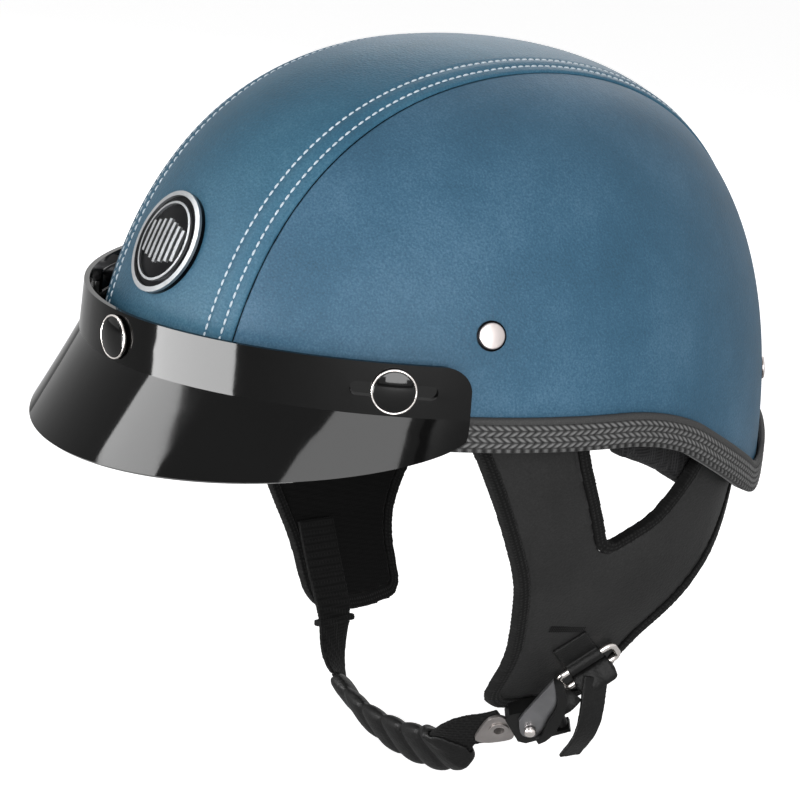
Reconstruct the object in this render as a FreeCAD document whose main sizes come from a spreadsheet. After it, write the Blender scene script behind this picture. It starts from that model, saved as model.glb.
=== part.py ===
import FreeCAD, Part
import Sketcher
import math
import os
from FreeCAD import Matrix, Placement, Rotation, Vector

# Half shell riding helmet with leather cover, short visor, ear flaps and chin strap.
# Millimetres. The front faces -Y, the wearer's left is +X, up is +Z.
# The origin is in the plane of the shell's side rim, at the middle of the head opening.

doc = FreeCAD.newDocument("HalfShellHelmet")

# Driving dimensions: alias, value or formula, meaning
SIZES = [
    ("half_width", 118.0, "leather surface, centre to side"),
    ("front_reach", 149.0, "leather surface, centre to brow"),
    ("back_reach", 142.5, "leather surface, centre to nape"),
    ("crown_rise", 160.5, "widest level up to the crown"),
    ("equator_level", -31.0, "height of the widest level"),
    ("crown_fullness", 0.99, "conic weight of the upright profile"),
    ("front_fullness", 0.645, "conic weight of the plan at the front"),
    ("back_fullness", 0.68, "conic weight of the plan at the back"),
    ("leather_thick", 1.2, "side cover thickness"),
    ("centre_rise", 0.7, "centre cover stands above the side covers"),
    ("shell_thick", 3.0, "hard shell wall"),
    ("foam_thick", 15.0, "impact liner wall"),
    ("pad_thick", 7.0, "comfort pad thickness"),
    ("layer_gap", 0.2, "clearance between layers"),
    ("seam_half_width", 41.2, "centre panel, half width"),
    ("seam_gap", 0.4, "groove between covers"),
    ("trim_height", 12.5, "edge trim, outer leg"),
    ("trim_proud", 2.2, "edge trim, outer leg thickness"),
    ("trim_web", 1.7, "edge trim, thickness under the rim"),
    ("trim_inner", 1.2, "edge trim, inner leg thickness"),
    ("nape_drop", 39.5, "lowest corner of the rim below the side rim"),
    ("nape_rise", 25.0, "rim at the back centre below the side rim"),
    ("rivet_radius", 5.0, "strap rivet head radius"),
    ("rivet_shank", 2.2, "strap rivet shank radius"),
    ("rivet_level", 40.4, "front strap rivet height"),
    ("rivet_back", -60.7, "front strap rivet, fore and aft"),
    ("rear_rivet_level", 5.0, "rear strap rivet height"),
    ("rear_rivet_back", 117.0, "rear strap rivet, fore and aft"),
    ("visor_half_width", "half_width + 5", "visor ring, centre to side"),
    ("visor_front", "front_reach + 4.5", "visor ring, centre to front"),
    ("visor_thick", 2.0, "visor wall"),
    ("visor_top", 31.5, "upper edge of the visor band"),
    ("visor_crease", 13.0, "height where the brim leaves the band"),
    ("visor_end", -73.5, "rear end of the visor band"),
    ("brim_flare", 20.6, "brim reach beyond the band at the front"),
    ("brim_drop", 30.6, "brim edge below the crease at the front"),
    ("snap_level", 22.0, "height of the visor snaps"),
    ("side_snap_back", -97.5, "side visor snaps, fore and aft"),
    ("cap_radius", 8.0, "visor snap cap radius"),
    ("cap_height", 2.2, "visor snap cap height"),
    ("snap_shank", 2.3, "visor snap shank radius"),
    ("socket_radius", 5.8, "snap socket radius"),
    ("socket_height", 3.2, "snap socket height"),
    ("stud_head", 3.5, "snap stud head radius"),
    ("stud_post", 2.5, "snap stud post radius"),
    ("slot_length", 31.0, "adjusting slot in the visor band"),
    ("slot_height", 5.0, "adjusting slot height"),
    ("badge_half_width", 17.5, "badge, half width"),
    ("badge_half_height", 19.5, "badge, half height"),
    ("badge_level", 55.5, "badge centre height"),
    ("flap_thick", 3.8, "ear flap thickness"),
    ("binding_width", 4.6, "woven tape on the flap edges"),
    ("binding_proud", 0.5, "tape stands above the flap face"),
    ("flap_face", "half_width - 15", "flap face from the centre plane at the rim"),
    ("flap_bottom", -127.0, "lowest edge of the ear flap"),
    ("webbing_width", 18.0, "chin strap width"),
    ("webbing_thick", 1.8, "chin strap thickness"),
    ("chin_pad_width", 25.0, "quilted chin pad width"),
    ("chin_pad_thick", 8.0, "quilted chin pad thickness"),
    ("ring_wire", 1.3, "strap ring wire radius"),
    ("ring_length", 28.0, "strap ring, outside length"),
    ("ring_width", 12.0, "strap ring, outside width"),
    ("frame_width", 20.0, "buckle housing width"),
    ("frame_thick", 6.0, "buckle housing thickness"),
    ("frame_wall", 1.9, "buckle housing, wall over the tongue slot"),
    ("frame_mouth", 7.5, "buckle housing, pivot to mouth"),
    ("frame_rear", 9.0, "buckle housing, pivot to rear wall"),
    ("bar_radius", 1.3, "buckle strap bar radius"),
    ("pivot_radius", 1.5, "lever pivot radius"),
    ("pivot_head", 2.3, "lever pivot head radius"),
    ("lever_thick", 1.5, "lever plate thickness"),
    ("grip_thick", 3.0, "lever grip thickness"),
    ("plate_width", 16.0, "tongue plate width"),
    ("plate_thick", 1.4, "tongue plate thickness"),
    ("blade_width", 10.0, "tongue blade width"),
    ("blade_length", 11.5, "tongue blade inside the housing"),
    ("plate_hole", 2.3, "tongue plate hole radius"),
    ("leather_fold", 1.5, "leather strap thickness"),
    ("play", 0.35, "clearance between moving hardware"),
]

sheet = doc.addObject("Spreadsheet::Sheet", "Sizes")
for row, (alias, value, meaning) in enumerate(SIZES, start=1):
    sheet.set("A%d" % row, meaning)
    sheet.set("B%d" % row, "=" + value if isinstance(value, str) else "%g" % value)
    sheet.setAlias("B%d" % row, alias)
doc.recompute()


class Size:
    """A length from the sheet that keeps the expression it came from."""

    def __init__(self, value, text):
        self.value = float(value)
        self.text = text

    def joined(self, other, sign):
        if not isinstance(other, Size):
            other = Size(other, "%g" % other)
        results = {
            "+": self.value + other.value,
            "-": self.value - other.value,
            "*": self.value * other.value,
        }
        return Size(results[sign], "(%s %s %s)" % (self.text, sign, other.text))

    def __add__(self, other):
        return self.joined(other, "+")

    def __sub__(self, other):
        return self.joined(other, "-")

    def __mul__(self, other):
        return self.joined(other, "*")

    def __neg__(self):
        return self.joined(-1, "*")


def size(alias):
    """A sheet length for use in sketches and expressions."""
    return Size(getattr(sheet, alias), "Sizes." + alias)


def val(alias):
    """A sheet length as a plain number."""
    return float(getattr(sheet, alias))


exported = []


def keep(obj, label):
    """Give a sub-part its label and put it on the export list."""
    obj.Label = label
    exported.append(obj)
    return obj


def feature(name, shape):
    """A document object that holds a shape made here."""
    obj = doc.addObject("Part::Feature", name)
    obj.Shape = shape
    return obj


# Layers, as offsets from the leather surface of the side covers

gap = val("layer_gap")
cover_in = -val("leather_thick")
shell_out = cover_in - gap
shell_in = shell_out - val("shell_thick")
inner_leg_in = shell_in - gap - val("trim_inner")
anchor_out = inner_leg_in - gap
anchor_thick = 1.6
anchor_in = anchor_out - anchor_thick
flap_out = anchor_in - gap
foam_in = shell_in - gap - val("foam_thick")
pad_out = foam_in - gap
pad_in = pad_out - val("pad_thick")
trim_out = gap + val("trim_proud")


# The dome: one conic surface, offset for each layer

base_level = -75.0
base_share = 0.955
below_level = -50.0


def conic_share(share, weight):
    """The other coordinate of a unit quarter conic between (1, 0) and (0, 1)."""
    share = min(abs(share), 1.0)
    rest = 1.0 - share
    k = 4.0 * weight * weight * rest
    root = (k - 2.0 * rest) ** 2 - 4.0 * (rest * rest - k)
    return (2.0 * rest - k + math.sqrt(max(root, 0.0))) / 2.0


def level_share(level, offset):
    """How far out the dome is at a height, as a share of its widest level."""
    lift = level - val("equator_level")
    if lift <= 0.0:
        return 1.0
    return conic_share(lift / (val("crown_rise") + offset), val("crown_fullness"))


def plan_axes(back, offset, share=1.0):
    """Half width, half length and fullness of the plan on one side of the middle."""
    if back < 0.0:
        reach, weight = val("front_reach"), val("front_fullness")
    else:
        reach, weight = val("back_reach"), val("back_fullness")
    return (val("half_width") + offset) * share, (reach + offset) * share, weight


def dome_x(back, level, offset):
    """Distance of the dome from the centre plane at a place seen from the side."""
    wide, reach, weight = plan_axes(back, offset, level_share(level, offset))
    if abs(back) >= reach:
        return 0.0
    return wide * conic_share(back / reach, weight)


def dome_front(across, level, offset):
    """Fore and aft place of the dome's front at a place seen from the front."""
    wide, reach, weight = plan_axes(-1.0, offset, level_share(level, offset))
    return -reach * conic_share(across / wide, weight)


def dome_normal(back, level, side):
    """Outward unit normal of the leather surface at the side."""
    step = 0.5
    slope_y = (dome_x(back + step, level, 0) - dome_x(back - step, level, 0)) / (2 * step)
    slope_z = (dome_x(back, level + step, 0) - dome_x(back, level - step, 0)) / (2 * step)
    return Vector(side, -slope_y, -slope_z).normalize()


def dome_faces(offset):
    """Curved faces of the dome moved out by offset: four quarters, two rows each."""
    wide = val("half_width") + offset
    front = val("front_reach") + offset
    back = val("back_reach") + offset
    equator = val("equator_level")
    crown = equator + val("crown_rise") + offset
    wf, wb = val("front_fullness"), val("back_fullness")
    ring = [
        (wide, 0, 1), (wide, back, wb), (0, back, 1), (-wide, back, wb), (-wide, 0, 1),
        (-wide, -front, wf), (0, -front, 1), (wide, -front, wf), (wide, 0, 1),
    ]
    rows = [
        (base_share, base_level, 1),
        (1, below_level, 1),
        (1, equator, 1),
        (1, crown, val("crown_fullness")),
        (0, crown, 1),
    ]
    faces = []
    for quarter in range(0, 8, 2):
        for row in (0, 2):
            corner = [ring[quarter + i] for i in range(3)]
            height = [rows[row + i] for i in range(3)]
            poles = [[Vector(x * s, y * s, z) for s, z, _ in height] for x, y, _ in corner]
            weights = [[w * v for _, _, v in height] for _, _, w in corner]
            surface = Part.BSplineSurface()
            surface.buildFromPolesMultsKnots(
                poles, [3, 3], [3, 3], [0, 1], [0, 1], False, False, 2, 2, weights)
            faces.append(surface.toShape())
    return faces


def dome(offset):
    """Solid inside the leather surface moved out by offset, closed by a flat base."""
    faces = dome_faces(offset)
    rim = []
    for face in faces:
        rim += [e for e in face.Edges if abs(e.BoundBox.ZMax - base_level) < 1e-6]
    base = Part.Face(Part.Wire(Part.sortEdges(rim)[0]))
    shell = Part.makeShell(faces + [base])
    shell.sewShape(1e-5)
    solid = Part.makeSolid(shell)
    if solid.Volume < 0:
        solid.reverse()
    return solid


def hollow(outer, inner):
    """Wall between two offsets of the dome."""
    return dome(outer).cut(dome(inner))


# Outlines seen from the side, drawn as lines joined by arcs

reach_far = 190.0


def rounded_edges(corners, place, closed):
    """Lines joined by tangent arcs. Each corner is (u, v, radius)."""
    count = len(corners)
    pieces = []
    for i, (u, v, radius) in enumerate(corners):
        here = Vector(u, v, 0)
        inside = closed or 0 < i < count - 1
        if not inside or radius <= 0:
            pieces.append((here, None, here))
            continue
        before = Vector(*corners[i - 1][:2], 0) - here
        after = Vector(*corners[(i + 1) % count][:2], 0) - here
        half = before.getAngle(after) / 2.0
        run = radius / math.tan(half)
        start = here + before.normalize() * run
        end = here + after.normalize() * run
        to_centre = (before + after).normalize()
        middle = here + to_centre * (radius / math.sin(half) - radius)
        pieces.append((start, middle, end))
    edges = []
    for i, (start, middle, end) in enumerate(pieces):
        if middle is not None:
            arc = Part.Arc(place(start), place(middle), place(end))
            edges.append(arc.toShape())
        if i + 1 < count or closed:
            following = pieces[(i + 1) % count][0]
            if (following - end).Length > 1e-6:
                edges.append(Part.makeLine(place(end), place(following)))
    return edges


def on_side(point):
    """From side view coordinates to the plane at X = -reach_far."""
    return Vector(-reach_far, point.x, point.y)


def side_face(corners):
    """Face of a closed outline seen from the side."""
    return Part.Face(Part.Wire(rounded_edges(corners, on_side, True)))


def side_prism(corners):
    """Closed outline seen from the side, as a block through the whole width."""
    return side_face(corners).extrude(Vector(2 * reach_far, 0, 0))


# The rim: lower edge of the trim, from the brow to the nape

RIM = [
    (-reach_far, 7.0, 0),
    (-112.0, 0.0, 120.0),
    (12.5, 0.0, 100.0),
    (93.0, -val("nape_drop"), 35.0),
    (132.0, -val("nape_rise"), 60.0),
    (reach_far, -val("nape_rise") + 2.0, 0),
]


def rim_corners(lift):
    """The rim path moved up by lift, measured square to the path."""
    points = [Vector(u, v, 0) for u, v, _ in RIM]
    normals = []
    for start, end in zip(points, points[1:]):
        along = (end - start).normalize()
        normals.append(Vector(-along.y, along.x, 0))
    moved = [(points[0].x, points[0].y + lift, 0)]
    for i in range(1, len(points) - 1):
        first, second = normals[i - 1], normals[i]
        middle = (first + second).normalize()
        corner = points[i] + middle * (lift / middle.dot(first))
        bend = first.cross(second).z
        radius = RIM[i][2] - math.copysign(lift, bend)
        moved.append((corner.x, corner.y, radius))
    moved.append((points[-1].x, points[-1].y + lift, 0))
    return moved


ceiling = 200.0


def above_rim(lift):
    """Everything above the rim path moved up by lift."""
    path = rim_corners(lift)
    top = [(reach_far, ceiling, 0), (-reach_far, ceiling, 0)]
    return side_prism(path + top)


def box(x0, x1, y0, y1, z0, z1):
    """Block between two corners."""
    return Part.makeBox(x1 - x0, y1 - y0, z1 - z0, Vector(x0, y0, z0))


def rod(start, direction, radius, length):
    """Round bar."""
    return Part.makeCylinder(radius, length, start, direction)


def mirrored(shape):
    """The same form on the wearer's other side."""
    flip = Matrix()
    flip.A11 = -1
    return shape.transformGeometry(flip)


# Places of the fasteners

def side_point(back, level, offset, side):
    """Point on the dome at the side, moved out along its normal."""
    skin = Vector(side * dome_x(back, level, 0), back, level)
    return skin + dome_normal(back, level, side) * offset


def ring_point(back, side):
    """Point on the visor ring in plan with its outward normal."""
    wide, front = val("visor_half_width"), val("visor_front")
    weight = val("front_fullness")

    def across(y):
        return wide * conic_share(y / front, weight)

    step = 0.5
    slope = (across(back + step) - across(back - step)) / (2 * step)
    normal = Vector(side, -slope, 0).normalize()
    return Vector(side * across(back), back, 0), normal


RIVETS = [
    (val("rivet_back"), val("rivet_level")),
    (val("rear_rivet_back"), val("rear_rivet_level")),
]
SIDES = {"left": 1, "right": -1}


def snap_axis(name):
    """Middle of the visor band's outer face at a snap, and its outward normal."""
    if name == "centre":
        return Vector(0, -val("visor_front"), val("snap_level")), Vector(0, -1, 0)
    point, normal = ring_point(val("side_snap_back"), SIDES[name])
    return point + Vector(0, 0, val("snap_level")), normal


def skin_gap(point, normal):
    """Distance from the band's outer face back to the leather surface."""
    low, high = 0.0, 40.0
    for _ in range(40):
        middle = (low + high) / 2
        probe = point - normal * middle
        inside = probe.y > dome_front(probe.x, probe.z, 0)
        low, high = (low, middle) if inside else (middle, high)
    return (low + high) / 2


SNAPS = ["centre", "left", "right"]
snap_room = {name: skin_gap(*snap_axis(name)) for name in SNAPS}


# Hard shell, leather covers and liner

flange_rise = 1.4
flange_sink = 0.3
flange_radius = val("socket_radius")


def fastener_bores(shank_only):
    """Bores for the rivets and the snap studs."""
    bores = []
    for side in SIDES.values():
        for back, level in RIVETS:
            normal = dome_normal(back, level, side)
            start = side_point(back, level, -12.0, side)
            bores.append(rod(start, normal, val("rivet_shank") + gap, 20.0))
    for name in SNAPS:
        point, normal = snap_axis(name)
        start = point - normal * (snap_room[name] + 8.0)
        radius = val("snap_shank") if shank_only else flange_radius
        bores.append(rod(start, normal, radius + gap, 14.0))
    return bores


cover_region = above_rim(val("trim_web") + gap)
shell_shape = hollow(shell_out, shell_in).common(cover_region).cut(fastener_bores(True))
keep(feature("Shell", shell_shape), "shell")

seam = val("seam_half_width")
side_in = seam + val("seam_gap")
cover_bores = fastener_bores(False)
centre_wall = hollow(val("centre_rise"), cover_in).common(cover_region)
centre_cover = centre_wall.common(box(-seam, seam, -reach_far, reach_far, base_level, ceiling))
keep(feature("CoverCentre", centre_cover.cut(cover_bores)), "cover_centre")
side_wall = hollow(0, cover_in).common(cover_region)
left_cover = side_wall.common(box(side_in, reach_far, -reach_far, reach_far, base_level, ceiling))
left_cover = left_cover.cut(cover_bores)
keep(feature("CoverLeft", left_cover), "cover_left")
keep(feature("CoverRight", mirrored(left_cover)), "cover_right")

trim_space = hollow(gap + val("centre_rise"), shell_in - gap).common(above_rim(val("trim_web")))
trim_block = hollow(trim_out + val("centre_rise"), inner_leg_in).common(above_rim(0))
trim_shape = trim_block.cut(above_rim(val("trim_height"))).cut(trim_space)
keep(feature("EdgeTrim", trim_shape), "edge_trim")

foam_edge = val("trim_height") + 0.5
foam = hollow(shell_in - gap, foam_in).common(above_rim(foam_edge))


# Strap anchors: webbing from each rivet down to the ear flap, inside the shell

anchor_half = 9.0


def strip_corners(top, bottom, half, extra):
    """Slanted strip seen from the side, from a rivet to the rim."""
    start = Vector(*top, 0)
    end = Vector(*bottom, 0)
    along = (end - start).normalize()
    across = Vector(-along.y, along.x, 0) * half
    start = start - along * (half + extra)
    points = [start + across, start - across, end - across, end + across]
    return [(p.x, p.y, 0) for p in points]


ANCHORS = {
    "front": ((val("rivet_back"), val("rivet_level")), (-37.0, 3.0), anchor_half),
    "rear": ((val("rear_rivet_back"), val("rear_rivet_level")), (76.0, -24.0), 7.5),
}
rear_region = box(0, reach_far, -reach_far, reach_far, base_level, ceiling)
channel_play = 1.2
anchor_bores = fastener_bores(True)
for name, (top, bottom, half) in ANCHORS.items():
    strip = side_prism(strip_corners(top, bottom, half, 0.0))
    webbing = hollow(anchor_out, anchor_in).common(strip).common(rear_region)
    webbing = webbing.cut(anchor_bores)
    keep(feature("Anchor" + name, webbing), "strap_anchor_%s_left" % name)
    keep(feature("AnchorRight" + name, mirrored(webbing)), "strap_anchor_%s_right" % name)
    wide_strip = side_prism(strip_corners(top, bottom, half + channel_play, channel_play))
    foam = foam.cut(hollow(shell_in, anchor_in - channel_play).common(wide_strip))
washer_rooms = []
for side in SIDES.values():
    for back, level in RIVETS:
        start = side_point(back, level, anchor_in + 0.5, side)
        washer_rooms.append(rod(start, -dome_normal(back, level, side), 7.5, 4.5))
for name in SNAPS:
    point, normal = snap_axis(name)
    start = point - normal * (snap_room[name] + 3.0)
    washer_rooms.append(rod(start, -normal, 6.0, 5.5))
foam = foam.cut(washer_rooms)
keep(feature("FoamLiner", foam), "foam_liner")

# Comfort pads

pad_wall = hollow(pad_out, pad_in)
pad_edge = foam_edge + 1.5
band_top = 46.0
pad_band = pad_wall.common(above_rim(pad_edge))
pad_band = pad_band.common(box(-reach_far, reach_far, -reach_far, reach_far, base_level, band_top))
brow_back = -24.0
temple_back = 62.0
pad_split = 3.0
brow = pad_band.common(box(-reach_far, reach_far, -reach_far, brow_back, base_level, band_top))
keep(feature("BrowPad", brow), "brow_pad")
temple = pad_band.common(
    box(0, reach_far, brow_back + pad_split, temple_back, base_level, band_top))
keep(feature("TemplePadLeft", temple), "temple_pad_left")
keep(feature("TemplePadRight", mirrored(temple)), "temple_pad_right")
crown_radius = 62.0
crown_bottom = band_top + 12.0
crown_post = Part.makeCylinder(crown_radius, ceiling, Vector(0, 0, crown_bottom))
keep(feature("CrownPad", pad_wall.common(crown_post)), "crown_pad")

nape_out = flap_out - val("flap_thick") - 4.6
nape_in = nape_out - 10.0
nape_sink = -9.0
nape_front = 9.0
nape_wall = hollow(nape_out, nape_in).common(above_rim(nape_sink))
nape_wall = nape_wall.cut(above_rim(foam_edge - 0.3))
nape_pad = nape_wall.common(box(-reach_far, reach_far, nape_front, reach_far, base_level, ceiling))
keep(feature("NapePad", nape_pad), "nape_pad")


# Visor: band and brim in one piece, drawn by cross-sections along the band

end_drop = 7.0


def visor_section(back, side):
    """Closed cross-section of band and brim at one place along the visor."""
    point, normal = ring_point(back, side)
    if side == 0:
        point, normal = Vector(0, -val("visor_front"), 0), Vector(0, -1, 0)
    share = (val("visor_end") - back) / (val("visor_end") + val("visor_front"))
    share = min(max(share, 0.0), 1.0)
    flare = val("brim_flare") * share ** 1.45
    edge_level = end_drop - (val("brim_drop") - val("visor_crease") + end_drop) * share ** 0.55
    thick = val("visor_thick")
    up = Vector(0, 0, 1)
    top = point - normal * 0.8 + up * (val("visor_top") + 0.5)
    crease = point + up * val("visor_crease")
    edge = point + normal * flare + up * edge_level
    slope = (edge - crease).normalize()
    inward = Vector(slope.z * normal.x, slope.z * normal.y, -slope.dot(normal))
    inner_edge = edge + inward * thick
    inner_crease = crease - normal * thick - up * 0.6 * thick * slope.dot(normal)
    inner_top = top - normal * thick
    corners = [top, crease, edge, inner_edge, inner_crease, inner_top]
    return Part.makePolygon(corners + [corners[0]])


STATIONS = 11
sections = []
run = val("visor_front") + val("visor_end")
for i in range(STATIONS):
    turn = 90.0 * i / STATIONS
    back = val("visor_end") + 1.5 - (run + 1.5) * math.sin(math.radians(turn))
    sections.append(visor_section(back, 1))
middle_section = visor_section(-val("visor_front"), 0)
flip = Matrix()
flip.A11 = -1
other_side = [s.transformGeometry(flip) for s in reversed(sections)]
visor = Part.makeLoft(sections + [middle_section] + other_side, True, False)
if visor.Volume < 0:
    visor.reverse()
visor_outline = side_prism([
    (-reach_far, val("visor_top"), 0),
    (val("visor_end"), val("visor_top"), 9.0),
    (val("visor_end"), 4.0, 9.0),
    (val("visor_end") - 13.0, -6.0, 0),
    (-reach_far, -70.0, 0),
])
visor = visor.common(visor_outline)
for name in SNAPS:
    point, normal = snap_axis(name)
    start = point - normal * 9.0
    shank_bore = rod(start, normal, val("snap_shank") + gap, 14.0)
    if name == "centre":
        visor = visor.cut(shank_bore)
        continue
    along = Vector(0, 0, 1).cross(normal)
    half = val("slot_length") / 2 - val("slot_height") / 2
    ends = [rod(start + along * s * half, normal, val("slot_height") / 2, 14.0) for s in (-1, 1)]
    low = start - along * half - Vector(0, 0, val("slot_height") / 2)
    slab = Part.makePolygon([
        low, low + along * 2 * half,
        low + along * 2 * half + Vector(0, 0, val("slot_height")),
        low + Vector(0, 0, val("slot_height")), low])
    slot = Part.Face(slab).extrude(normal * 14.0).fuse(ends)
    visor = visor.cut(slot)
keep(feature("Visor", visor), "visor")


# Turned fasteners: half profiles in a sketch, revolved about the local Z axis

def origin_plane(body, role):
    """One of a body's own origin planes."""
    return [o for o in body.Origin.OriginFeatures if o.Role == role][0]


def sketch_outline(body, name, role, corners):
    """Closed polygon in a sketch, each corner bound to the sheet."""
    sketch = body.newObject("Sketcher::SketchObject", name)
    sketch.AttachmentSupport = [(origin_plane(body, role), "")]
    sketch.MapMode = "FlatFace"
    count = len(corners)
    points = [Vector(as_number(u), as_number(v), 0) for u, v in corners]
    for i in range(count):
        sketch.addGeometry(Part.LineSegment(points[i], points[(i + 1) % count]), False)
    for i in range(count):
        sketch.addConstraint(Sketcher.Constraint("Coincident", i, 2, (i + 1) % count, 1))
    for i, (u, v) in enumerate(corners):
        for kind, amount in (("DistanceX", u), ("DistanceY", v)):
            index = sketch.addConstraint(
                Sketcher.Constraint(kind, -1, 1, i, 1, as_number(amount)))
            if isinstance(amount, Size):
                sketch.setExpression("Constraints[%d]" % index, amount.text)
    return sketch


def as_number(amount):
    """Value of a plain number or of a sheet size."""
    return amount.value if isinstance(amount, Size) else float(amount)


def turned(label, corners, spot, axis):
    """Body of revolution about its own Z axis, set along an axis at a spot."""
    body = doc.addObject("PartDesign::Body", "Body_" + label)
    sketch = sketch_outline(body, "Profile_" + label, "XZ_Plane", corners)
    turn = body.newObject("PartDesign::Revolution", "Turn_" + label)
    turn.Profile = sketch
    turn.ReferenceAxis = (sketch, ["V_Axis"])
    turn.Angle = 360.0
    body.Tip = turn
    body.Placement = Placement(spot, Rotation(Vector(0, 0, 1), axis))
    return body


def compound(name, bodies):
    """Several equal fasteners in one node."""
    group = doc.addObject("Part::Compound", name)
    group.Links = bodies
    return group


cap_edge = size("cap_height") * 0.45
for name in SNAPS:
    point, normal = snap_axis(name)
    cap = turned("visor_cap_" + name, [
        (0, -size("visor_thick") - size("socket_height") * 0.3),
        (size("snap_shank"), -size("visor_thick") - size("socket_height") * 0.3),
        (size("snap_shank"), size("layer_gap")),
        (size("cap_radius"), size("layer_gap")),
        (size("cap_radius"), size("layer_gap") + cap_edge),
        (size("cap_radius") - 1.2, size("layer_gap") + size("cap_height") * 0.85),
        (size("cap_radius") * 0.45, size("layer_gap") + size("cap_height")),
        (0, size("layer_gap") + size("cap_height")),
    ], point, normal)
    keep(cap, "visor_cap_" + name)

socket_seat = 0.8
sockets = []
studs = []
washers = []
for name in SNAPS:
    point, normal = snap_axis(name)
    back_face = -size("visor_thick") - socket_seat
    socket_end = back_face - size("socket_height")
    cavity = size("stud_head") + 0.3
    sockets.append(turned("socket_" + name, [
        (size("snap_shank") + 0.1, back_face),
        (size("socket_radius"), back_face),
        (size("socket_radius"), socket_end),
        (cavity, socket_end),
        (cavity, back_face - size("socket_height") * 0.4),
        (size("snap_shank") + 0.1, back_face - size("socket_height") * 0.4),
    ], point, normal))
    skin = point - normal * snap_room[name]
    room = snap_room[name] - val("visor_thick") - socket_seat - val("socket_height") * 0.4 - gap
    shank_end = -(val("leather_thick") + val("shell_thick") + 2.6)
    studs.append(turned("stud_" + name, [
        (0, shank_end),
        (size("snap_shank"), shank_end),
        (size("snap_shank"), -flange_sink),
        (flange_radius, -flange_sink),
        (flange_radius, flange_rise),
        (size("stud_post"), flange_rise),
        (size("stud_post"), room - 1.9),
        (size("stud_head"), room - 1.4),
        (size("stud_head"), room - 0.6),
        (size("stud_post"), room - 0.1),
        (0, room - 0.1),
    ], skin, normal))
    washers.append(turned("stud_washer_" + name, [
        (size("snap_shank") + 0.05, shank_end + 0.1),
        (5.2, shank_end + 0.1),
        (5.2, shank_end + 1.0),
        (size("snap_shank") + 0.05, shank_end + 1.0),
    ], skin, normal))
keep(compound("Sockets", sockets), "visor_sockets")
keep(compound("Studs", studs), "shell_studs")
keep(compound("StudWashers", washers), "stud_washers")

rivet_washers = []
washer_level = anchor_in - 0.15
for side_name, side in SIDES.items():
    for place, (back, level) in zip(("front", "rear"), RIVETS):
        normal = dome_normal(back, level, side)
        spot = side_point(back, level, 0, side)
        label = "strap_rivet_%s_%s" % (place, side_name)
        rivet = turned(label, [
            (0, washer_level - 1.6),
            (size("rivet_shank"), washer_level - 1.6),
            (size("rivet_shank"), size("layer_gap")),
            (size("rivet_radius"), size("layer_gap")),
            (size("rivet_radius"), size("layer_gap") + 0.9),
            (size("rivet_radius") - 1.0, size("layer_gap") + 1.9),
            (size("rivet_radius") * 0.45, size("layer_gap") + 2.3),
            (0, size("layer_gap") + 2.3),
        ], spot, normal)
        keep(rivet, label)
        rivet_washers.append(turned("washer_%s_%s" % (place, side_name), [
            (size("rivet_shank") + 0.05, washer_level - 1.2),
            (size("rivet_radius") + 1.5, washer_level - 1.2),
            (size("rivet_radius") + 1.5, washer_level - 0.1),
            (size("rivet_shank") + 0.05, washer_level - 0.1),
        ], spot, normal))
keep(compound("RivetWashers", rivet_washers), "strap_washers")


# Badge: an oval plate that follows the brow, with a raised rim and plain ribs

badge_spot = Vector(0, dome_front(0, val("badge_level"), 0), val("badge_level"))
slope_step = 1.0
badge_slope = (dome_front(0, val("badge_level") + slope_step, 0)
               - dome_front(0, val("badge_level") - slope_step, 0)) / (2 * slope_step)
badge_out = Vector(0, -1, badge_slope).normalize()
badge_up = Vector(1, 0, 0).cross(badge_out) * -1
badge_play = 0.15
plate_rise = 1.5
relief_rise = 1.1
rim_width = 1.8


def badge_oval(inset):
    """Oval column through the badge, inset from its edge."""
    tall = val("badge_half_height") - inset
    wide = val("badge_half_width") - inset
    oval = Part.Ellipse(Vector(0, 0, 0), tall, wide).toShape()
    column = Part.Face(Part.Wire(oval)).extrude(Vector(0, 0, 40))
    turn = Rotation(badge_up, Vector(1, 0, 0).cross(badge_out), badge_out, "ZXY")
    column.Placement = Placement(badge_spot - badge_out * 20, turn)
    return column


def badge_bar(across, rise, wide, tall):
    """Upright bar on the badge face."""
    bar = Part.makeBox(tall, wide, 40, Vector(rise - tall / 2, across - wide / 2, 0))
    turn = Rotation(badge_up, Vector(1, 0, 0).cross(badge_out), badge_out, "ZXY")
    bar.Placement = Placement(badge_spot - badge_out * 20, turn).multiply(
        Placement(Vector(0, 0, 0), Rotation()))
    return bar


plate_low = val("centre_rise") + badge_play
plate_wall = hollow(plate_low + plate_rise, plate_low)
keep(feature("BadgePlate", plate_wall.common(badge_oval(0))), "badge_plate")
relief_low = plate_low + plate_rise + 0.02
relief_wall = hollow(relief_low + relief_rise, relief_low)
relief_ring = badge_oval(0).cut(badge_oval(rim_width))
inner_ring = badge_oval(rim_width + 2.4).cut(badge_oval(rim_width + 3.3))
bars = []
for step in range(-3, 4):
    bars.append(badge_bar(step * 3.1, 0, 1.5, 17.0 - 1.7 * abs(step)))
relief = relief_wall.common(relief_ring)
parts = [relief, relief_wall.common(inner_ring)]
parts += [relief_wall.common(bar) for bar in bars]
keep(feature("BadgeRelief", Part.makeCompound(parts)), "badge_relief")


# Ear flaps: a curved sheet cut to its outline, bound with tape

def flap_face(back, level):
    """Outer face of the flap from the centre plane, seen from the side."""
    free = val("flap_face") - 0.0026 * min(level, 0.0) ** 2 + 0.11 * (back - 20.0)
    inside = dome_x(back, max(level, -45.0), flap_out)
    soft = 5.0
    return -soft * math.log(math.exp(-free / soft) + math.exp(-inside / soft))


FLAP_LEVELS = (20.0, 0.0, -20.0, -45.0, -70.0, -95.0, -120.0, -145.0)
FLAP_BACKS = tuple(-76.0 + 22.0 * i for i in range(9))


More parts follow.
